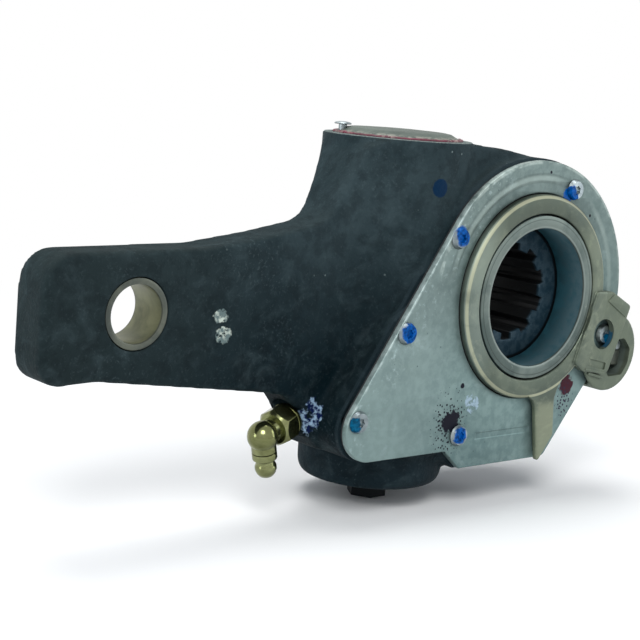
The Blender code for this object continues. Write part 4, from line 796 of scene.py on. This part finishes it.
def screw_steel():
    """Bright plated heads with blue marking paint, each dabbed in its own way."""
    f = Finish("screw_steel")
    clouds = f.noise(160, 4)
    fine = f.noise(1800, 2)
    front = COVER_FRONT + 1.3 * MM
    marks = (
        (mm(-2.4, -1.6), 3.3 * MM, BLUE_PAINT),
        (mm(0.3, 0.9), 3.4 * MM, BLUE_PAINT),
        (mm(0.2, 0.2), 3.3 * MM, BLUE_PAINT),
        (mm(-1.9, -0.5), 2.6 * MM, TEAL_PAINT),
        (mm(-0.3, 0.2), 2.9 * MM, BLUE_PAINT),
        (mm(1.4, -1.6), 2.0 * MM, TEAL_PAINT),
    )
    f.ground(f.ramp(clouds, 0.3, 0.7), srgb(112, 122, 126), srgb(156, 166, 168))
    f.matt(0.06)
    covered = 0.0
    for name, ((x, z), size, paint) in zip(SCREWS, marks):
        place = screw_place(name)
        dab = f.dab(on_cover((place[0] + x, place[1] + z), front), size, 0.3, grain=700)
        shade = f.mix(f.ramp(f.noise(900, 3), 0.35, 0.62), darker(paint, 0.4), paint)
        f.coat(dab, shade)
        covered = f.greatest(covered, dab)
    return f.finished(
        roughness=0.26 + 0.12 * clouds,
        metallic=0.9 - 0.85 * covered,
        normal=f.bump(fine * 0.12 + covered * f.noise(700, 3) * 0.6, 0.4, 0.2 * MM),
    )


def yellow_plating():
    """Yellow zinc of the nipple, with soft clouds, fine rolling marks and scattered spots."""
    f = Finish("yellow_plating")
    clouds = f.noise(120, 5, 0.6, distortion=0.6)
    fine = f.noise(1500, 2)
    dark = srgb(92, 95, 58)
    f.ground(f.ramp(clouds, 0.32, 0.7), dark, srgb(134, 138, 98))
    f.coat(f.flecks(420, 0.1, 0.03, 90, 0.5, 0.62, 3) * 0.45, darker(dark, 0.35))
    return f.finished(
        roughness=0.1 + 0.1 * f.ramp(clouds, 0.3, 0.7) + 0.06 * fine,
        metallic=0.95,
        normal=f.bump(fine * 0.4 + clouds * 0.5, 0.12, 0.1 * MM),
    )


def bush_metal():
    """Greenish brass-grey sleeve, darker at its rim."""
    f = Finish("bush_metal")
    clouds = f.noise(130, 4, 0.6, distortion=0.5)
    rim = f.ramp(abs(f.y), 5.9 * MM, 6.6 * MM)
    inside = f.mix(f.ramp(clouds, 0.3, 0.7), srgb(84, 88, 66), srgb(120, 122, 94))
    f.ground(rim, inside, f.mix(f.ramp(clouds, 0.35, 0.7), srgb(66, 72, 68), srgb(92, 96, 86)))
    return f.finished(
        roughness=0.34 + 0.16 * clouds,
        metallic=0.7,
        normal=f.bump(f.noise(900, 3) * 0.4 + clouds * 0.4, 0.15, 0.12 * MM),
    )


def cap_metal():
    """Dull beige-grey cap with faint smears and scuffs."""
    f = Finish("cap_metal")
    clouds = f.noise(70, 5, 0.6, distortion=0.8)
    mottle = f.noise(420, 4, 0.6)
    f.ground(f.ramp(clouds, 0.32, 0.7), srgb(60, 70, 64), srgb(86, 96, 89))
    scuffs = f.flecks(300, 0.12, 0.05, 110, 0.48, 0.6, 3)
    f.coat(scuffs * 0.5, srgb(86, 92, 86))
    rim = f.ramp(f.z, HEAD_TOP + 1.4 * MM, HEAD_TOP + 0.7 * MM) * f.ramp(mottle, 0.4, 0.6)
    f.coat(rim * 0.6, srgb(150, 148, 138))
    return f.finished(
        roughness=0.56 + 0.14 * clouds,
        metallic=0.4,
        normal=f.bump(mottle * 0.5 + clouds * 0.5, 0.2, 0.15 * MM),
    )


def sealant_paste():
    """Dark red paste, smeared thin and broken by beige dust in places."""
    f = Finish("sealant_paste")
    clumps = f.noise(260, 4, 0.65)
    dust = f.ramp(f.noise(120, 3), 0.5, 0.64) * f.ramp(f.noise(900, 3), 0.45, 0.6)
    f.ground(f.ramp(clumps, 0.3, 0.7), srgb(58, 14, 28), srgb(104, 30, 52))
    f.coat(dust * 0.75, srgb(158, 138, 132))
    return f.finished(
        roughness=0.42 + 0.25 * clumps,
        metallic=0.0,
        normal=f.bump(clumps + f.noise(1200, 2) * 0.4, 0.6, 0.3 * MM),
    )


def plain(name, colour, roughness, metallic=0.0):
    """One colour, a little darker in clouds, for the pieces inside and for rubber and paper."""
    f = Finish(name)
    clouds = f.noise(240, 4)
    f.ground(f.ramp(clouds, 0.3, 0.7) * 0.25, colour, darker(colour, 0.4))
    return f.finished(
        roughness=roughness + 0.1 * clouds,
        metallic=metallic,
        normal=f.bump(clouds, 0.1, 0.1 * MM),
    )


FINISHES = {
    "painted_iron": cast_paint(),
    "cover_zinc": cover_plating(),
    "arm_zinc": arm_plating(),
    "bright_steel": screw_steel(),
    "gear_steel": hub_steel(),
    "dark_steel": plain("oxide_steel", srgb(22, 22, 24), 0.45, 0.5),
    "bronze": bush_metal(),
    "yellow_zinc": yellow_plating(),
    "cap_steel": cap_metal(),
    "red_sealant": sealant_paste(),
    "rubber": plain("black_rubber", srgb(30, 30, 31), 0.6),
    "gasket_paper": plain("grey_gasket", srgb(38, 42, 44), 0.85),
}


def build_cover():
    form = bmesh.new()
    holes = [circle(screw_place(name), 2.2 * MM, 24) for name in SCREWS]
    opening = circle((0, 0), RING_OUTER + 0.3 * MM, 180)
    plate(form, [cover_outline(0), opening, *holes], COVER_BACK, COVER_FRONT, FRONT, 0.35 * MM)
    piece("cover_plate", form, "cover_zinc", "housing", "cover")


def ring_section():
    """Section of the control arm's ring, with its chamfers, its seal groove and rounded edges."""
    seal = (COVER_FRONT + COVER_BACK) / 2
    groove = RING_OUTER - 1.2 * MM
    half = 0.9 * MM
    return soften(
        [
            (RING_INNER, RING_LEVEL - 0.35 * MM),
            (RING_INNER + 0.35 * MM, RING_LEVEL),
            (RING_OUTER - RING_CHAMFER, RING_LEVEL),
            (RING_OUTER, RING_LEVEL - 0.9 * MM),
            (RING_OUTER, seal + half),
            (groove, seal + half),
            (groove, seal - half),
            (RING_OUTER, seal - half),
            (RING_OUTER, HOUSING_FACE),
            (RING_INNER, HOUSING_FACE),
        ],
        0.15 * MM,
        2,
    )


LUG_OUTLINE = [
    mm(28.1, 1.2), mm(35.9, 1.0), mm(46.2, -4.2), mm(44.0, -10.2), mm(41.7, -15.9),
    mm(37.7, -26.2), mm(35.7, -26.8), mm(25.1, -25.4), mm(20.4, -22.4),
]
LUG_WINDOW = [
    mm(42.1, -15.8), mm(46.2, -15.4), mm(49.8, -19.2), mm(49.2, -24.2),
    mm(46.6, -28.0), mm(39.4, -28.2), mm(38.2, -26.0),
]
LUG_HOLE = mm(33.3, -13.2)
LUG_HOLE_RADIUS = 5.1 * MM
LUG_EYE = mm(39.2, -19.7)
LUG_EYE_RADIUS = 13.3 * MM
LUG_BACK = 21.3 * MM
EYE_FRONT = 23.0 * MM
EYE_BACK = 13.3 * MM
EYE_FLOOR = 15.3 * MM
POINTER = [
    mm(-1.0, -29.5), mm(17.0, -26.0), mm(14.1, -30.4), mm(13.0, -34.0), mm(14.2, -45.9),
    mm(8.3, -53.8), mm(7.3, -53.7), mm(4.2, -36.0), mm(2.9, -33.6), mm(0.8, -32.6),
]
TAB_PAD = [mm(36.4, 0.1), mm(45.2, -4.4), mm(43.5, -8.0), mm(33.6, -2.2)]
STAMP = [mm(27.2, -21.0), mm(36.0, -23.0), mm(35.6, -25.4), mm(26.8, -23.4)]
SWING_UP = math.radians(20)
SWING_DOWN = math.radians(3)
LUG_RIBS = [
    (mm(26.0, -24.6), mm(35.0, -26.5), 0.25 * MM),
    (mm(28.6, -26.3), mm(35.6, -28.2), -0.45 * MM),
]


def screw_relief():
    """Room under the lug for the head of the screw that the arm swings over."""
    form = bmesh.new()
    x, z = screw_place(SCREWS[-1])
    orbit, at, reach = math.hypot(x, z), math.atan2(z, x), 3.7 * MM
    first = at - SWING_UP - (reach + 0.5 * MM) / orbit
    last = at + SWING_DOWN + (reach + 0.5 * MM) / orbit
    outline = [*arc((0, 0), orbit + reach, first, last), *arc((0, 0), orbit - reach, last, first)]
    plate(form, [outline], LUG_BACK - 1 * MM, COVER_FRONT + 1.6 * MM)
    return form


def build_control_arm():
    """Ring, lug with its eye, and the wear pointer: one casting, machined on its faces."""
    eye_wall = bmesh.new()
    plate(eye_wall, [circle(LUG_EYE, LUG_EYE_RADIUS)], EYE_BACK, LUG_BACK + 0.4 * MM)
    drum_room = bmesh.new()
    rod(drum_room, COVER_RADIUS + 1.6 * MM, EYE_BACK - 1 * MM, LUG_BACK, FRONT, steps=128)
    wall = combined(eye_wall, drum_room)
    form = bmesh.new()
    inset = 0.25 * MM
    section = [
        (RING_INNER + inset, RING_LEVEL - inset),
        (RING_OUTER - RING_CHAMFER, RING_LEVEL - inset),
        (RING_OUTER - 0.6 * MM, RING_LEVEL - 1.1 * MM),
        (RING_OUTER - 0.6 * MM, LUG_BACK + 0.1 * MM),
        (RING_INNER + inset, LUG_BACK + 0.1 * MM),
    ]
    lathe(form, section, FRONT)
    add_mesh(form, wall)
    plate(form, [soften(LUG_OUTLINE, 0.8 * MM)], LUG_BACK, LUG_LEVEL)
    plate(form, [circle(LUG_EYE, LUG_EYE_RADIUS)], LUG_BACK - 0.3 * MM, EYE_FRONT)
    plate(form, [soften(POINTER, 0.8 * MM)], LUG_BACK, RING_LEVEL)
    skin = cast_skin(form, 0.36 * MM, 5)
    cutter = bmesh.new()
    rod(cutter, LUG_HOLE_RADIUS, LUG_BACK - 1 * MM, LUG_LEVEL + 1 * MM, FRONT, LUG_HOLE, 96)
    plate(cutter, [soften(LUG_WINDOW, 0.8 * MM)], EYE_FLOOR, LUG_LEVEL + 1 * MM)
    plate(cutter, [soften(STAMP, 0.4 * MM)], LUG_LEVEL - 0.45 * MM, LUG_LEVEL + 1 * MM)
    rod(cutter, RING_INNER + 0.1 * MM, HOUSING_FACE, LUG_LEVEL + 1.2 * MM, FRONT, steps=128)
    skin = combined(skin, cutter, solver="EXACT")
    skin = combined(skin, screw_relief(), solver="EXACT")
    form = bmesh.new()
    add_mesh(form, skin)
    lathe(form, ring_section(), FRONT, 192)
    plate(form, [soften(TAB_PAD, 0.5 * MM)], LUG_LEVEL - 0.5 * MM, LUG_LEVEL + 0.35 * MM, FRONT, 0.2 * MM)
    half, quarter = 0.45 * MM, math.pi / 2
    for left, right, rise in LUG_RIBS:
        outline = [*arc(left, half, quarter, 3 * quarter), *arc(right, half, -quarter, quarter)]
        plate(form, [outline], LUG_LEVEL - 1.6 * MM, LUG_LEVEL + rise, FRONT, 0.15 * MM)
    piece("anchored_arm", form, "arm_zinc", "control_arm", "control_arm", sharp=45)


def spline_outline():
    """Ten straight-sided spaces round the bore."""
    half = SPLINE_SPACE / 2
    pitch = 2 * math.pi / SPLINE_TEETH
    outer, inner = math.asin(half / SPLINE_MAJOR), math.asin(half / SPLINE_MINOR)
    points = []
    for space in range(SPLINE_TEETH):
        centre = math.pi / 2 + space * pitch
        points += arc((0, 0), SPLINE_MAJOR - 0.03 * MM, centre - outer, centre + outer)
        points += arc((0, 0), SPLINE_MINOR - 0.03 * MM, centre + inner, centre + pitch - inner)
    return points


def build_hub():
    """Wheel and hub: fine turned faces and spline over the wheel's own solid."""
    form = cad_form("worm_wheel")
    wall = RECESS_RADIUS - 0.06 * MM
    section = [
        (wall, HUB_FRONT + 0.03 * MM),
        (HUB_RADIUS + 0.02 * MM, HUB_FRONT + 0.03 * MM),
        (HUB_RADIUS + 0.02 * MM, HUB_FRONT - 2 * MM),
        (HUB_RADIUS - 1 * MM, HUB_FRONT - 2 * MM),
        (wall + 1.2 * MM, RECESS_FLOOR - 1 * MM),
        (wall, RECESS_FLOOR - 1 * MM),
    ]
    lathe(form, soften(section, 0.3 * MM, 3), FRONT, 160)
    floor = [circle((0, 0), RECESS_RADIUS + 0.4 * MM, 160), soften(spline_outline(), 0.25 * MM, 2)]
    plate(form, floor, HUB_REAR - 0.03 * MM, RECESS_FLOOR + 0.03 * MM, FRONT, 0.25 * MM)
    piece("hub_and_wheel", form, "gear_steel", "worm_wheel", "worm_wheel")


def build_bush():
    high = 6.8 * MM
    section = [(BUSH_INNER, high), (BUSH_OUTER, high), (BUSH_OUTER, -high), (BUSH_INNER, -high)]
    form = bmesh.new()
    lathe(form, soften(section, 0.45 * MM, 2), FRONT @ Matrix.Translation((*EYE, 0)), 128)
    piece("clevis_bushing", form, "bronze", "housing", "clevis_bush")


def dome(top, *steps):
    """Section points from the middle outwards, as radius and drop below the top in millimetres."""
    return [(radius * MM, top - drop * MM) for radius, drop in steps]


def build_cap():
    """The domed end cap, pressed into the head."""
    low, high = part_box("end_cap")
    rim = HEAD_TOP + 0.5 * MM
    section = [
        *dome(high.z, (0, 0), (8.3, 0.1), (14.6, 0.35), (16.3, 0.6), (17.6, 1.3)),
        (CAP_RADIUS - 0.15 * MM, rim + 0.1 * MM),
        (CAP_RADIUS, rim - 0.1 * MM),
        (CAP_RADIUS, low.z),
        (0, low.z),
    ]
    form = bmesh.new()
    lathe(form, section, WORM, 160)
    piece("cap", form, "cap_steel", "housing", "end_cap", sharp=50)


def build_sealant(count=300, around=10):
    """A ragged bead round the cap, swelling and thinning as it was squeezed out."""
    form = bmesh.new()
    rows = []
    for k in range(count):
        angle = 2 * math.pi * k / count
        c, s = math.cos(angle), math.sin(angle)
        lump = noise.fractal(Vector((c, s, 0)) * 9, 0.8, 2.0, 4)
        thin = 0.5 + 0.5 * noise.noise(Vector((c, s, 3)) * 2.2)
        wide = (0.62 + 0.2 * lump) * (0.72 + 0.4 * thin) * MM
        tall = (0.55 + 0.25 * lump) * (0.65 + 0.5 * thin) * MM
        middle = CAP_RADIUS + 0.25 * MM + wide * 0.55
        row = []
        for j in range(around):
            turn = 2 * math.pi * j / around
            radius = middle + wide * math.cos(turn)
            height = HEAD_TOP + 0.1 * MM + max(-0.3 * MM, tall * math.sin(turn))
            row.append(form.verts.new(WORM @ Vector((radius * c, radius * s, height))))
        rows.append(row)
    for near, far in zip(rows, rows[1:] + rows[:1]):
        for j in range(around):
            n = (j + 1) % around
            form.faces.new((near[j], near[n], far[n], far[j]))
    piece("sealant_bead", form, "red_sealant", "housing", "cap_sealant", sharp=80)


def build_stud():
    low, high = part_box("cap_stud")
    steps = ((0, 0), (1.2, 0.05), (2.2, 0.25), (2.62, 0.5), (2.7, 0.7), (2.45, 0.88), (1.3, 0.9))
    section = [*dome(high.z, *steps), (1.3 * MM, low.z), (0, low.z)]
    form = bmesh.new()
    lathe(form, section, Matrix.Translation(((low.x + high.x) / 2, (low.y + high.y) / 2, 0)), 48)
    piece("bleed_stud", form, "bright_steel", "housing", "cap_stud", sharp=50)


NUT_FLATS = 10.4 * MM
NUT_LOW = 1.7 * MM
NUT_HIGH = 7.8 * MM
ELBOW = 12.8 * MM
ELBOW_RADIUS = 4.6 * MM
NECK_RADIUS = 3.7 * MM
NOZZLE_TIP = 12.6 * MM
NOZZLE_MOUTH = 1.4 * MM
NOZZLE_SECTION = [
    (NOZZLE_MOUTH, NOZZLE_TIP),
    (2.1 * MM, NOZZLE_TIP),
    mm(2.9, 11.5),
    mm(3.25, 10.4),
    mm(3.2, 9.3),
    mm(2.75, 8.4),
    mm(2.6, 7.7),
    mm(3.0, 7.3),
    mm(3.7, 7.0),
    mm(3.7, 4.9),
    mm(2.0, 4.9),
    mm(2.0, 2.3),
    (NOZZLE_MOUTH, 2.3 * MM),
]


def build_nut():
    """Hexagon of the nipple, its corners turned down to a barrel."""
    corner = NUT_FLATS / 2 / math.cos(math.pi / 6)
    nut = bmesh.new()
    plate(nut, [soften(circle((0, 0), corner, 6), 0.3 * MM, 2)], NUT_LOW, NUT_HIGH, NIPPLE)
    barrel = [
        (0, NUT_HIGH),
        (4.7 * MM, NUT_HIGH),
        (corner + 0.3 * MM, NUT_HIGH - 1.8 * MM),
        (corner + 0.3 * MM, NUT_LOW + 0.9 * MM),
        (4.9 * MM, NUT_LOW),
        (0, NUT_LOW),
    ]
    turned = bmesh.new()
    lathe(turned, barrel, NIPPLE, 96)
    return combined(nut, turned, "INTERSECT", "EXACT")


def build_nipple():
    """Elbowed grease nipple: adapter with its nut and elbow, the nozzle, and the ball in its mouth."""
    form = bmesh.new()
    collar = [mm(3.0, 1.8), mm(5.3, 1.8), mm(5.3, 0.3), mm(3.0, 0.3)]
    lathe(form, soften(collar, 0.4 * MM, 3), NIPPLE, 96)
    rod(form, 2.8 * MM, -7 * MM, 1 * MM, NIPPLE)
    rod(form, 4.2 * MM, 1.5 * MM, 2.6 * MM, NIPPLE)
    add_mesh(form, build_nut())
    rod(form, NECK_RADIUS, 7 * MM, ELBOW, NIPPLE)
    elbow = NIPPLE @ Matrix.Translation((0, 0, ELBOW))
    bmesh.ops.create_uvsphere(form, u_segments=64, v_segments=40, radius=ELBOW_RADIUS, matrix=elbow)
    nozzle = elbow @ Matrix.Rotation(math.pi / 2, 4, "Y")
    rod(form, NECK_RADIUS, 0, ELBOW_RADIUS, nozzle)
    piece("grease_adapter", form, "yellow_zinc", "housing", "nipple_adapter")
    form = bmesh.new()
    lathe(form, soften(NOZZLE_SECTION, 0.2 * MM, 2), nozzle, 64)
    piece("grease_tip", form, "yellow_zinc", "housing", "nipple_head", sharp=50)
    form = bmesh.new()
    mouth = nozzle @ Matrix.Translation((0, 0, NOZZLE_TIP - 1.2 * MM))
    bmesh.ops.create_uvsphere(form, u_segments=32, v_segments=20, radius=1.1 * MM, matrix=mouth)
    piece("valve_ball", form, "bright_steel", "housing", "nipple_check_ball")


def build_rack_spring():
    """The rack's coil spring, between the housing and the rack, riding on no body, with its place baked into its
    mesh.
    """
    obj = piece("rack_coil", cad_form("rack_spring"), "bright_steel", None, "rack_spring")
    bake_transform(obj)


SCREW_SIZES = {
    "Head Radius": 3.4 * MM,
    "Head Height": 1.15 * MM,
    "Recess Radius": 1.6 * MM,
    "Recess Depth": 0.7 * MM,
    "Shank Radius": 1.9 * MM,
    "Shank Length": 8.4 * MM,
}
HEAD_TAPER = 0.82
LOBE_SHARE = 0.72
TURN_SEED = 4


def screw_tree():
    """Screws on points: a head with a six-lobed recess and a shank, turned by a fixed seed."""
    tree = bpy.data.node_groups.new("cover_screws", "GeometryNodeTree")
    face = tree.interface
    face.new_socket("Geometry", in_out="INPUT", socket_type="NodeSocketGeometry")
    for name, size in SCREW_SIZES.items():
        face.new_socket(name, in_out="INPUT", socket_type="NodeSocketFloat").default_value = size
    face.new_socket("Turn Seed", in_out="INPUT", socket_type="NodeSocketInt").default_value = TURN_SEED
    face.new_socket("Finish", in_out="INPUT", socket_type="NodeSocketMaterial")
    face.new_socket("Geometry", in_out="OUTPUT", socket_type="NodeSocketGeometry")
    nodes = Nodes(tree)
    given = {socket.name: Value(nodes, socket) for socket in tree.nodes.new("NodeGroupInput").outputs}

    def add(kind, *inputs, output=0, **settings):
        return nodes.node(kind, output, enumerate(inputs), **settings)

    def lifted(mesh, height):
        up = nodes.node("ShaderNodeCombineXYZ", 0, {"Z": height})
        return nodes.node("GeometryNodeTransform", 0, {"Geometry": mesh, "Translation": up})

    def joined(first, second):
        return nodes.node("GeometryNodeJoinGeometry", 0, ((0, first), (0, second)))

    cone = {
        "Vertices": 48,
        "Radius Top": given["Head Radius"] * HEAD_TAPER,
        "Radius Bottom": given["Head Radius"],
        "Depth": given["Head Height"],
    }
    head = nodes.node("GeometryNodeMeshCone", 0, cone)
    star = {
        "Points": 6,
        "Inner Radius": given["Recess Radius"] * LOBE_SHARE,
        "Outer Radius": given["Recess Radius"],
    }
    star = nodes.node("GeometryNodeCurveStar", 0, star)
    lobes = {"Curve": star, "Count": 3, "Radius": 0.3 * MM}
    lobes = nodes.node("GeometryNodeFilletCurve", 0, lobes, mode="POLY")
    outline = add("GeometryNodeFillCurve", lobes)
    deep = nodes.node("ShaderNodeCombineXYZ", 0, {"Z": given["Recess Depth"] * 2.0})
    walls = {"Mesh": outline, "Offset": deep, "Individual": False}
    walls = nodes.node("GeometryNodeExtrudeMesh", 0, walls)
    lid = add("GeometryNodeFlipFaces", outline)
    closed = nodes.node("GeometryNodeMergeByDistance", 0, {"Geometry": joined(walls, lid), "Distance": 1e-6})
    recess = lifted(closed, given["Head Height"] - given["Recess Depth"])
    head = add("GeometryNodeMeshBoolean", head, recess, operation="DIFFERENCE", solver="EXACT")
    rod_sizes = {"Vertices": 32, "Radius": given["Shank Radius"], "Depth": given["Shank Length"]}
    shank = lifted(nodes.node("GeometryNodeMeshCylinder", 0, rod_sizes), given["Shank Length"] * -0.5)
    angle = {2: 0.0, 3: 1.05, "Seed": given["Turn Seed"]}
    angle = nodes.node("FunctionNodeRandomValue", 1, angle, data_type="FLOAT")
    turn = add("ShaderNodeCombineXYZ", math.pi / 2, angle)
    placed = {"Points": given["Geometry"], "Instance": joined(head, shank), "Rotation": turn}
    placed = nodes.node("GeometryNodeInstanceOnPoints", 0, placed)
    real = add("GeometryNodeRealizeInstances", placed)
    done = nodes.node("GeometryNodeSetMaterial", 0, {"Geometry": real, "Material": given["Finish"]})
    nodes.feed(tree.nodes.new("NodeGroupOutput").inputs[0], done)
    return tree


def build_screws():
    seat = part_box(SCREWS[0])[0].y + 1.0 * MM
    points = bpy.data.meshes.new("screw_points")
    points.from_pydata([(x, seat, z) for x, z in map(screw_place, SCREWS)], [], [])
    obj = new_object("work", points)
    tree = screw_tree()
    made = obj.modifiers.new("screws", "NODES")
    made.node_group = tree
    finish = next(item for item in tree.interface.items_tree if item.name == "Finish")
    made[finish.identifier] = FINISHES["bright_steel"]
    screws = piece("cover_screws", baked(obj), "bright_steel", "housing", *SCREWS)
    round_edges(screws, 0.15 * MM)


def dress_cad_nodes(shown):
    """Finish and closed seams for the nodes left as they are, and rounded edges for those that show."""
    slots = {row["node"]: row["material_slot"] for row in frame["record"]["subparts"]}
    for name, obj in frame["nodes"].items():
        obj.data.materials.clear()
        obj.data.materials.append(FINISHES[slots[name]])
        weld = obj.modifiers.new("close seams", "WELD")
        weld.merge_threshold = 1e-5
        if name in shown:
            round_edges(obj, shown[name])


def place_camera():
    a, e, r = CAMERA_AZIMUTH, CAMERA_ELEVATION, CAMERA_ROLL
    back = Vector((math.sin(a) * math.cos(e), -math.cos(a) * math.cos(e), math.sin(e)))
    right = Vector((math.cos(a), math.sin(a), 0))
    up = back.cross(right)
    turned_right = right * math.cos(r) + up * math.sin(r)
    turned_up = up * math.cos(r) - right * math.sin(r)
    camera = new_object("photo_camera", bpy.data.cameras.new("photo_camera"))
    turn = Matrix((turned_right, turned_up, back)).transposed().to_4x4()
    camera.matrix_world = Matrix.Translation(CAMERA_PLACE) @ turn
    camera.data.lens = CAMERA_LENS
    camera.data.shift_x, camera.data.shift_y = CAMERA_SHIFT
    camera.data.clip_start, camera.data.clip_end = 0.05, 20
    bpy.context.scene.camera = camera


# Soft boxes: name, place, width and height, power and tint
LAMPS = (
    ("key_box", (-0.65, -0.7, 0.8), (0.5, 0.5), 8.0, (1, 1, 1)),
    ("side_box", (0.75, -0.6, 0.3), (0.35, 0.7), 2.6, (0.94, 0.97, 1)),
    ("top_box", (0.0, 0.2, 0.9), (0.7, 0.5), 5.5, (1, 1, 1)),
    ("left_strip", (-0.9, 0.1, 0.25), (0.2, 0.7), 2.4, (0.95, 0.98, 1)),
)
LAMP_AIM = Vector((-0.05, 0, 0))
SKY_TINT = (0.86, 0.93, 1.0)
SKY_LEVEL = 0.32
PAPER_GREY = 0.95
FLOOR_SIZE = 8.0
SHADOW_MIDDLE = (-40 * MM, 0, 0)
SHADOW_NEAR = 0.13
SHADOW_FAR = 0.42


def area_light(name, place, size, power, tint):
    data = bpy.data.lights.new(name, "AREA")
    data.shape = "RECTANGLE"
    data.size, data.size_y = size
    data.energy = power
    data.color = tint
    light = new_object(name, data)
    light.location = place
    light.rotation_euler = (LAMP_AIM - Vector(place)).to_track_quat("-Z", "Y").to_euler()


def looked_at(nodes):
    """1 for the rays that see the backdrop itself, 0 for those that bring light to the object."""
    return nodes.greatest(*[nodes.node("ShaderNodeLightPath", ray) for ray in SEEING_RAYS])


def build_floor():
    """White paper that keeps the shadow near the object and is plain white further out."""
    bpy.ops.mesh.primitive_plane_add(size=FLOOR_SIZE, location=(0, 0, FLOOR_LEVEL))
    floor = bpy.context.object
    floor.name = "studio_floor"
    f = Finish("studio_paper")
    f.colour = grey(PAPER_GREY)
    floor.data.materials.append(f.finished(roughness=0.95))
    glow = f.node("ShaderNodeEmission", 0, {0: grey(1.0), 1: 1.0})
    far = f.ramp(f.distance(SHADOW_MIDDLE, (1, 1, 0)), SHADOW_NEAR, SHADOW_FAR)
    paper = Value(f, f.shader.outputs[0])
    surface = f.node("ShaderNodeMixShader", 0, {0: far * looked_at(f), 1: paper, 2: glow})
    f.feed(f.tree.nodes["Material Output"].inputs[0], surface)


def build_studio():
    """The floor, white all round it, and soft boxes over the object."""
    build_floor()
    world = bpy.data.worlds.new("studio")
    bpy.context.scene.world = world
    world.use_nodes = True
    sky = Nodes(world.node_tree)
    lit = sky.tree.nodes["Background"]
    sky.feed(lit.inputs[0], SKY_TINT)
    sky.feed(lit.inputs[1], SKY_LEVEL)
    white = sky.node("ShaderNodeBackground", 0, {0: grey(1.0), 1: 1.0})
    seen = {0: looked_at(sky), 1: Value(sky, lit.outputs[0]), 2: white}
    sky.feed(sky.tree.nodes["World Output"].inputs[0], sky.node("ShaderNodeMixShader", 0, seen))
    for lamp in LAMPS:
        area_light(*lamp)


build_housing()
build_cover()
build_control_arm()
build_hub()
build_bush()
build_cap()
build_sealant()
build_stud()
build_nipple()
build_rack_spring()
build_screws()
dress_cad_nodes({"worm_shaft": 0.3 * MM, "lug_block": 0.3 * MM, "lug_pin": 0.25 * MM})
place_camera()
build_studio()
bpy.context.scene.view_settings.view_transform = "Standard"
